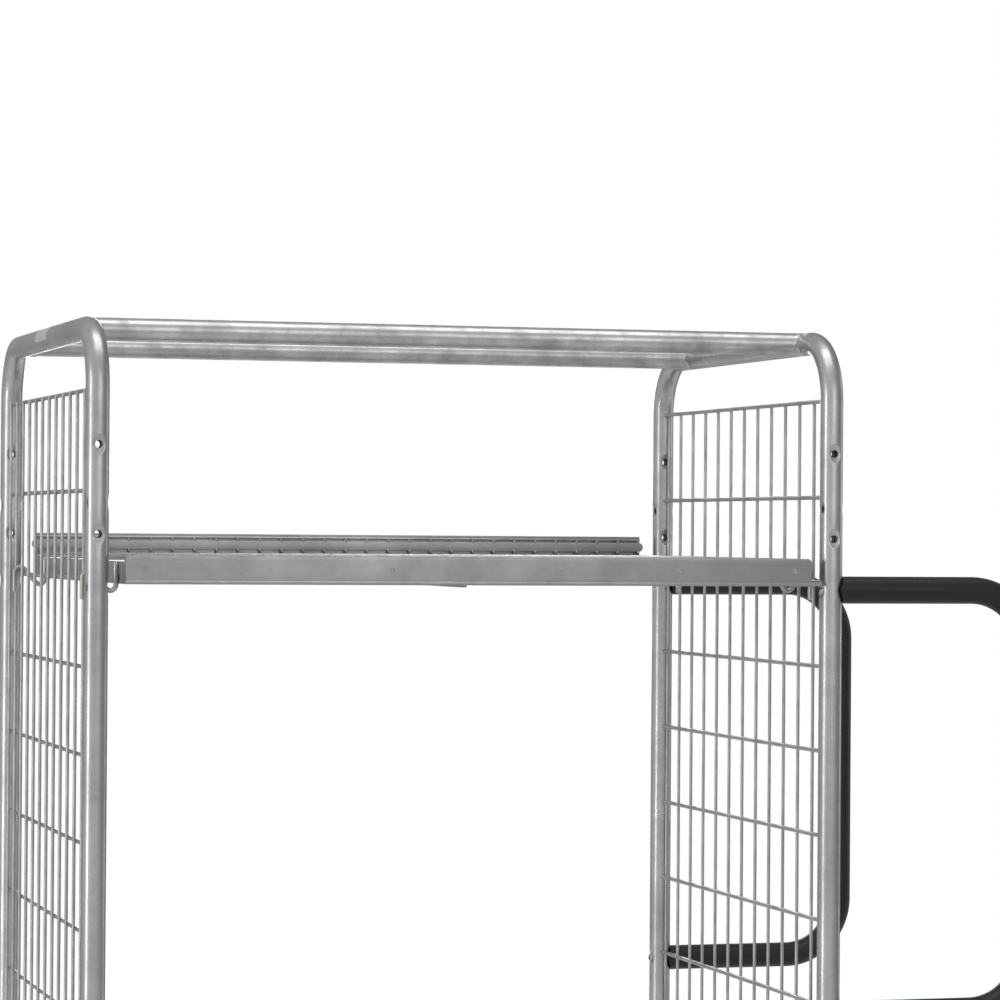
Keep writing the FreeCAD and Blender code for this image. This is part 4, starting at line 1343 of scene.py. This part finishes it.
def brake_pedal(corner):
    """The pin and its sleeve, the tread with its ridges, and the shoe that meets the tyre."""
    name = "brake_pedal_" + corner
    low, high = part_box(name)
    y = (low.y + high.y) / 2
    pin_x = castor_centre(corner)[0] - pedal_pin_back
    pin_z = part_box("swivel_fork_" + corner)[1].z - fork_sheet - pedal_pin_drop
    under = pin_z + sheet_above_pin
    half = leg_inner - pedal_side_gap
    bm = bmesh.new()
    side = Vector((0, 1, 0))
    pin = Vector((pin_x, y, pin_z))
    bar(bm, [pin - side * (leg_inner + fork_sheet), pin + side * (leg_inner + fork_sheet)],
        pedal_pin_radius - 0.05 * MM, sides=24, tip=0.5 * MM)
    bar(bm, [pin - side * half, pin + side * half], sleeve_radius, sides=28, tip=0.6 * MM)
    edge = [(0, half), (arm_length, half), (tread_start, tread_half),
            (tread_end - tread_corner, tread_half), (tread_end, tread_half - tread_corner)]
    outline = [(pin_x, y - half)] + [(pin_x - back, y + aside) for back, aside in edge]
    outline += [(pin_x - back, y - aside) for back, aside in edge[:0:-1]]
    plate(bm, [outline], pedal_sheet, level_plate(under + pedal_sheet / 2), ease=pedal_ease)
    shoe = rounded(pin_x - shoe_far, pin_x - shoe_near, y - shoe_half, y + shoe_half, shoe_corner)
    plate(bm, [shoe], shoe_depth, level_plate(under - shoe_depth / 2), ease=pressed_ease)
    ridge_half = tread_half - tread_corner
    ridge_z = under + pedal_sheet - ridge_sink
    for n in range(ridge_count):
        ridge_x = pin_x - ridge_start + ridge_pitch * n
        bar(bm, [(ridge_x, y - ridge_half, ridge_z), (ridge_x, y + ridge_half, ridge_z)],
            ridge_radius, sides=16, tip=1.0 * MM)
    make(name + "_pressing", bm, "pedal_steel", castor_zinc, name)


for corner in corners[2:]:
    brake_pedal(corner)

# ------------------------------------------------------------
# Studio. A plain pale floor, soft light and a white backdrop, none of it part of the trolley.
# A tall soft light on the left draws the long highlight down every tube.

floor_radius = 4.5
floor_sides = 128
floor_mesh = bmesh.new()
bmesh.ops.create_circle(floor_mesh, cap_ends=True, segments=floor_sides, radius=floor_radius)
floor_data = bpy.data.meshes.new("studio_floor")
floor_mesh.to_mesh(floor_data)
floor_mesh.free()
floor_finish = finish_for("matt_pale_floor", Roughness=0.85, Base_Color=linear("#ededec"))[0]
floor_data.materials.append(floor_finish)
studio_floor = bpy.data.objects.new("studio_floor", floor_data)
bpy.context.scene.collection.objects.link(studio_floor)

# The room is brighter to the left and overhead than to the right, as a studio with one window is.
window_side = (-0.76, -0.44, 0.48)
world = bpy.data.worlds.new("studio")
world.use_nodes = True
bpy.context.scene.world = world
sky = world.node_tree
backdrop = sky.nodes["Background"]
ray = add(sky, "ShaderNodeLightPath", {})
direction = add(sky, "ShaderNodeTexCoord", {})
towards_window = add(sky, "ShaderNodeVectorMath", {"operation": "DOT_PRODUCT", 1: window_side},
                     {0: direction.outputs["Generated"]})
shade = add(sky, "ShaderNodeMapRange",
            {"From Min": -1.0, "From Max": 1.0, "To Min": 0.15, "To Max": 0.72},
            {"Value": towards_window.outputs["Value"]})
level = add(sky, "ShaderNodeMix", {3: 1.0}, {0: ray.outputs["Is Camera Ray"], 2: shade.outputs[0]})
sky.links.new(level.outputs[0], backdrop.inputs["Strength"])
backdrop.inputs["Color"].default_value = (1, 1, 1, 1)


def soft_light(name, azimuth, height, distance, width, tall, power):
    """A rectangular light that looks at the middle of the cage and is never seen itself."""
    data = bpy.data.lights.new(name, "AREA")
    data.shape = "RECTANGLE"
    data.size = width
    data.size_y = tall
    data.energy = power
    lamp = bpy.data.objects.new(name, data)
    bpy.context.scene.collection.objects.link(lamp)
    angle = math.radians(azimuth)
    lamp.location = (distance * math.sin(angle), -distance * math.cos(angle), height)
    target = Vector((0, 0, min(height, 1.0)))
    lamp.rotation_euler = (target - lamp.location).to_track_quat("-Z", "Y").to_euler()
    lamp.visible_camera = False


# The camera stands at azimuth -16, so a light 60 degrees to its left is at -76.
soft_light("key_left", -76, 1.3, 4.0, 0.35, 2.8, 22)
soft_light("fill_front", 10, 2.6, 5.0, 3.2, 2.2, 20)
soft_light("rim_right", 100, 1.6, 4.0, 1.6, 2.6, 10)
soft_light("top_soft", 0, 3.6, 0.6, 2.2, 1.2, 16)
soft_light("rear_soft", 170, 2.0, 4.2, 1.4, 2.0, 40)

yaw, pitch, roll = [math.radians(angle) for angle in (16.091, 0.506, 0.413)]
ahead = Vector((math.sin(yaw) * math.cos(pitch), math.cos(yaw) * math.cos(pitch), math.sin(pitch)))
level_right = Vector((math.cos(yaw), -math.sin(yaw), 0))
level_up = level_right.cross(ahead)
right = level_right * math.cos(roll) + level_up * math.sin(roll)
up = level_up * math.cos(roll) - level_right * math.sin(roll)
camera_data = bpy.data.cameras.new("view")
camera_data.lens = 136.68
camera_data.sensor_width = 36.0
camera = bpy.data.objects.new("view", camera_data)
camera.matrix_world = Matrix((right, up, -ahead)).transposed().to_4x4()
camera.location = (-1.3050, -4.4981, 1.4072)
bpy.context.scene.collection.objects.link(camera)
bpy.context.scene.camera = camera
bpy.context.scene.view_settings.view_transform = "Standard"
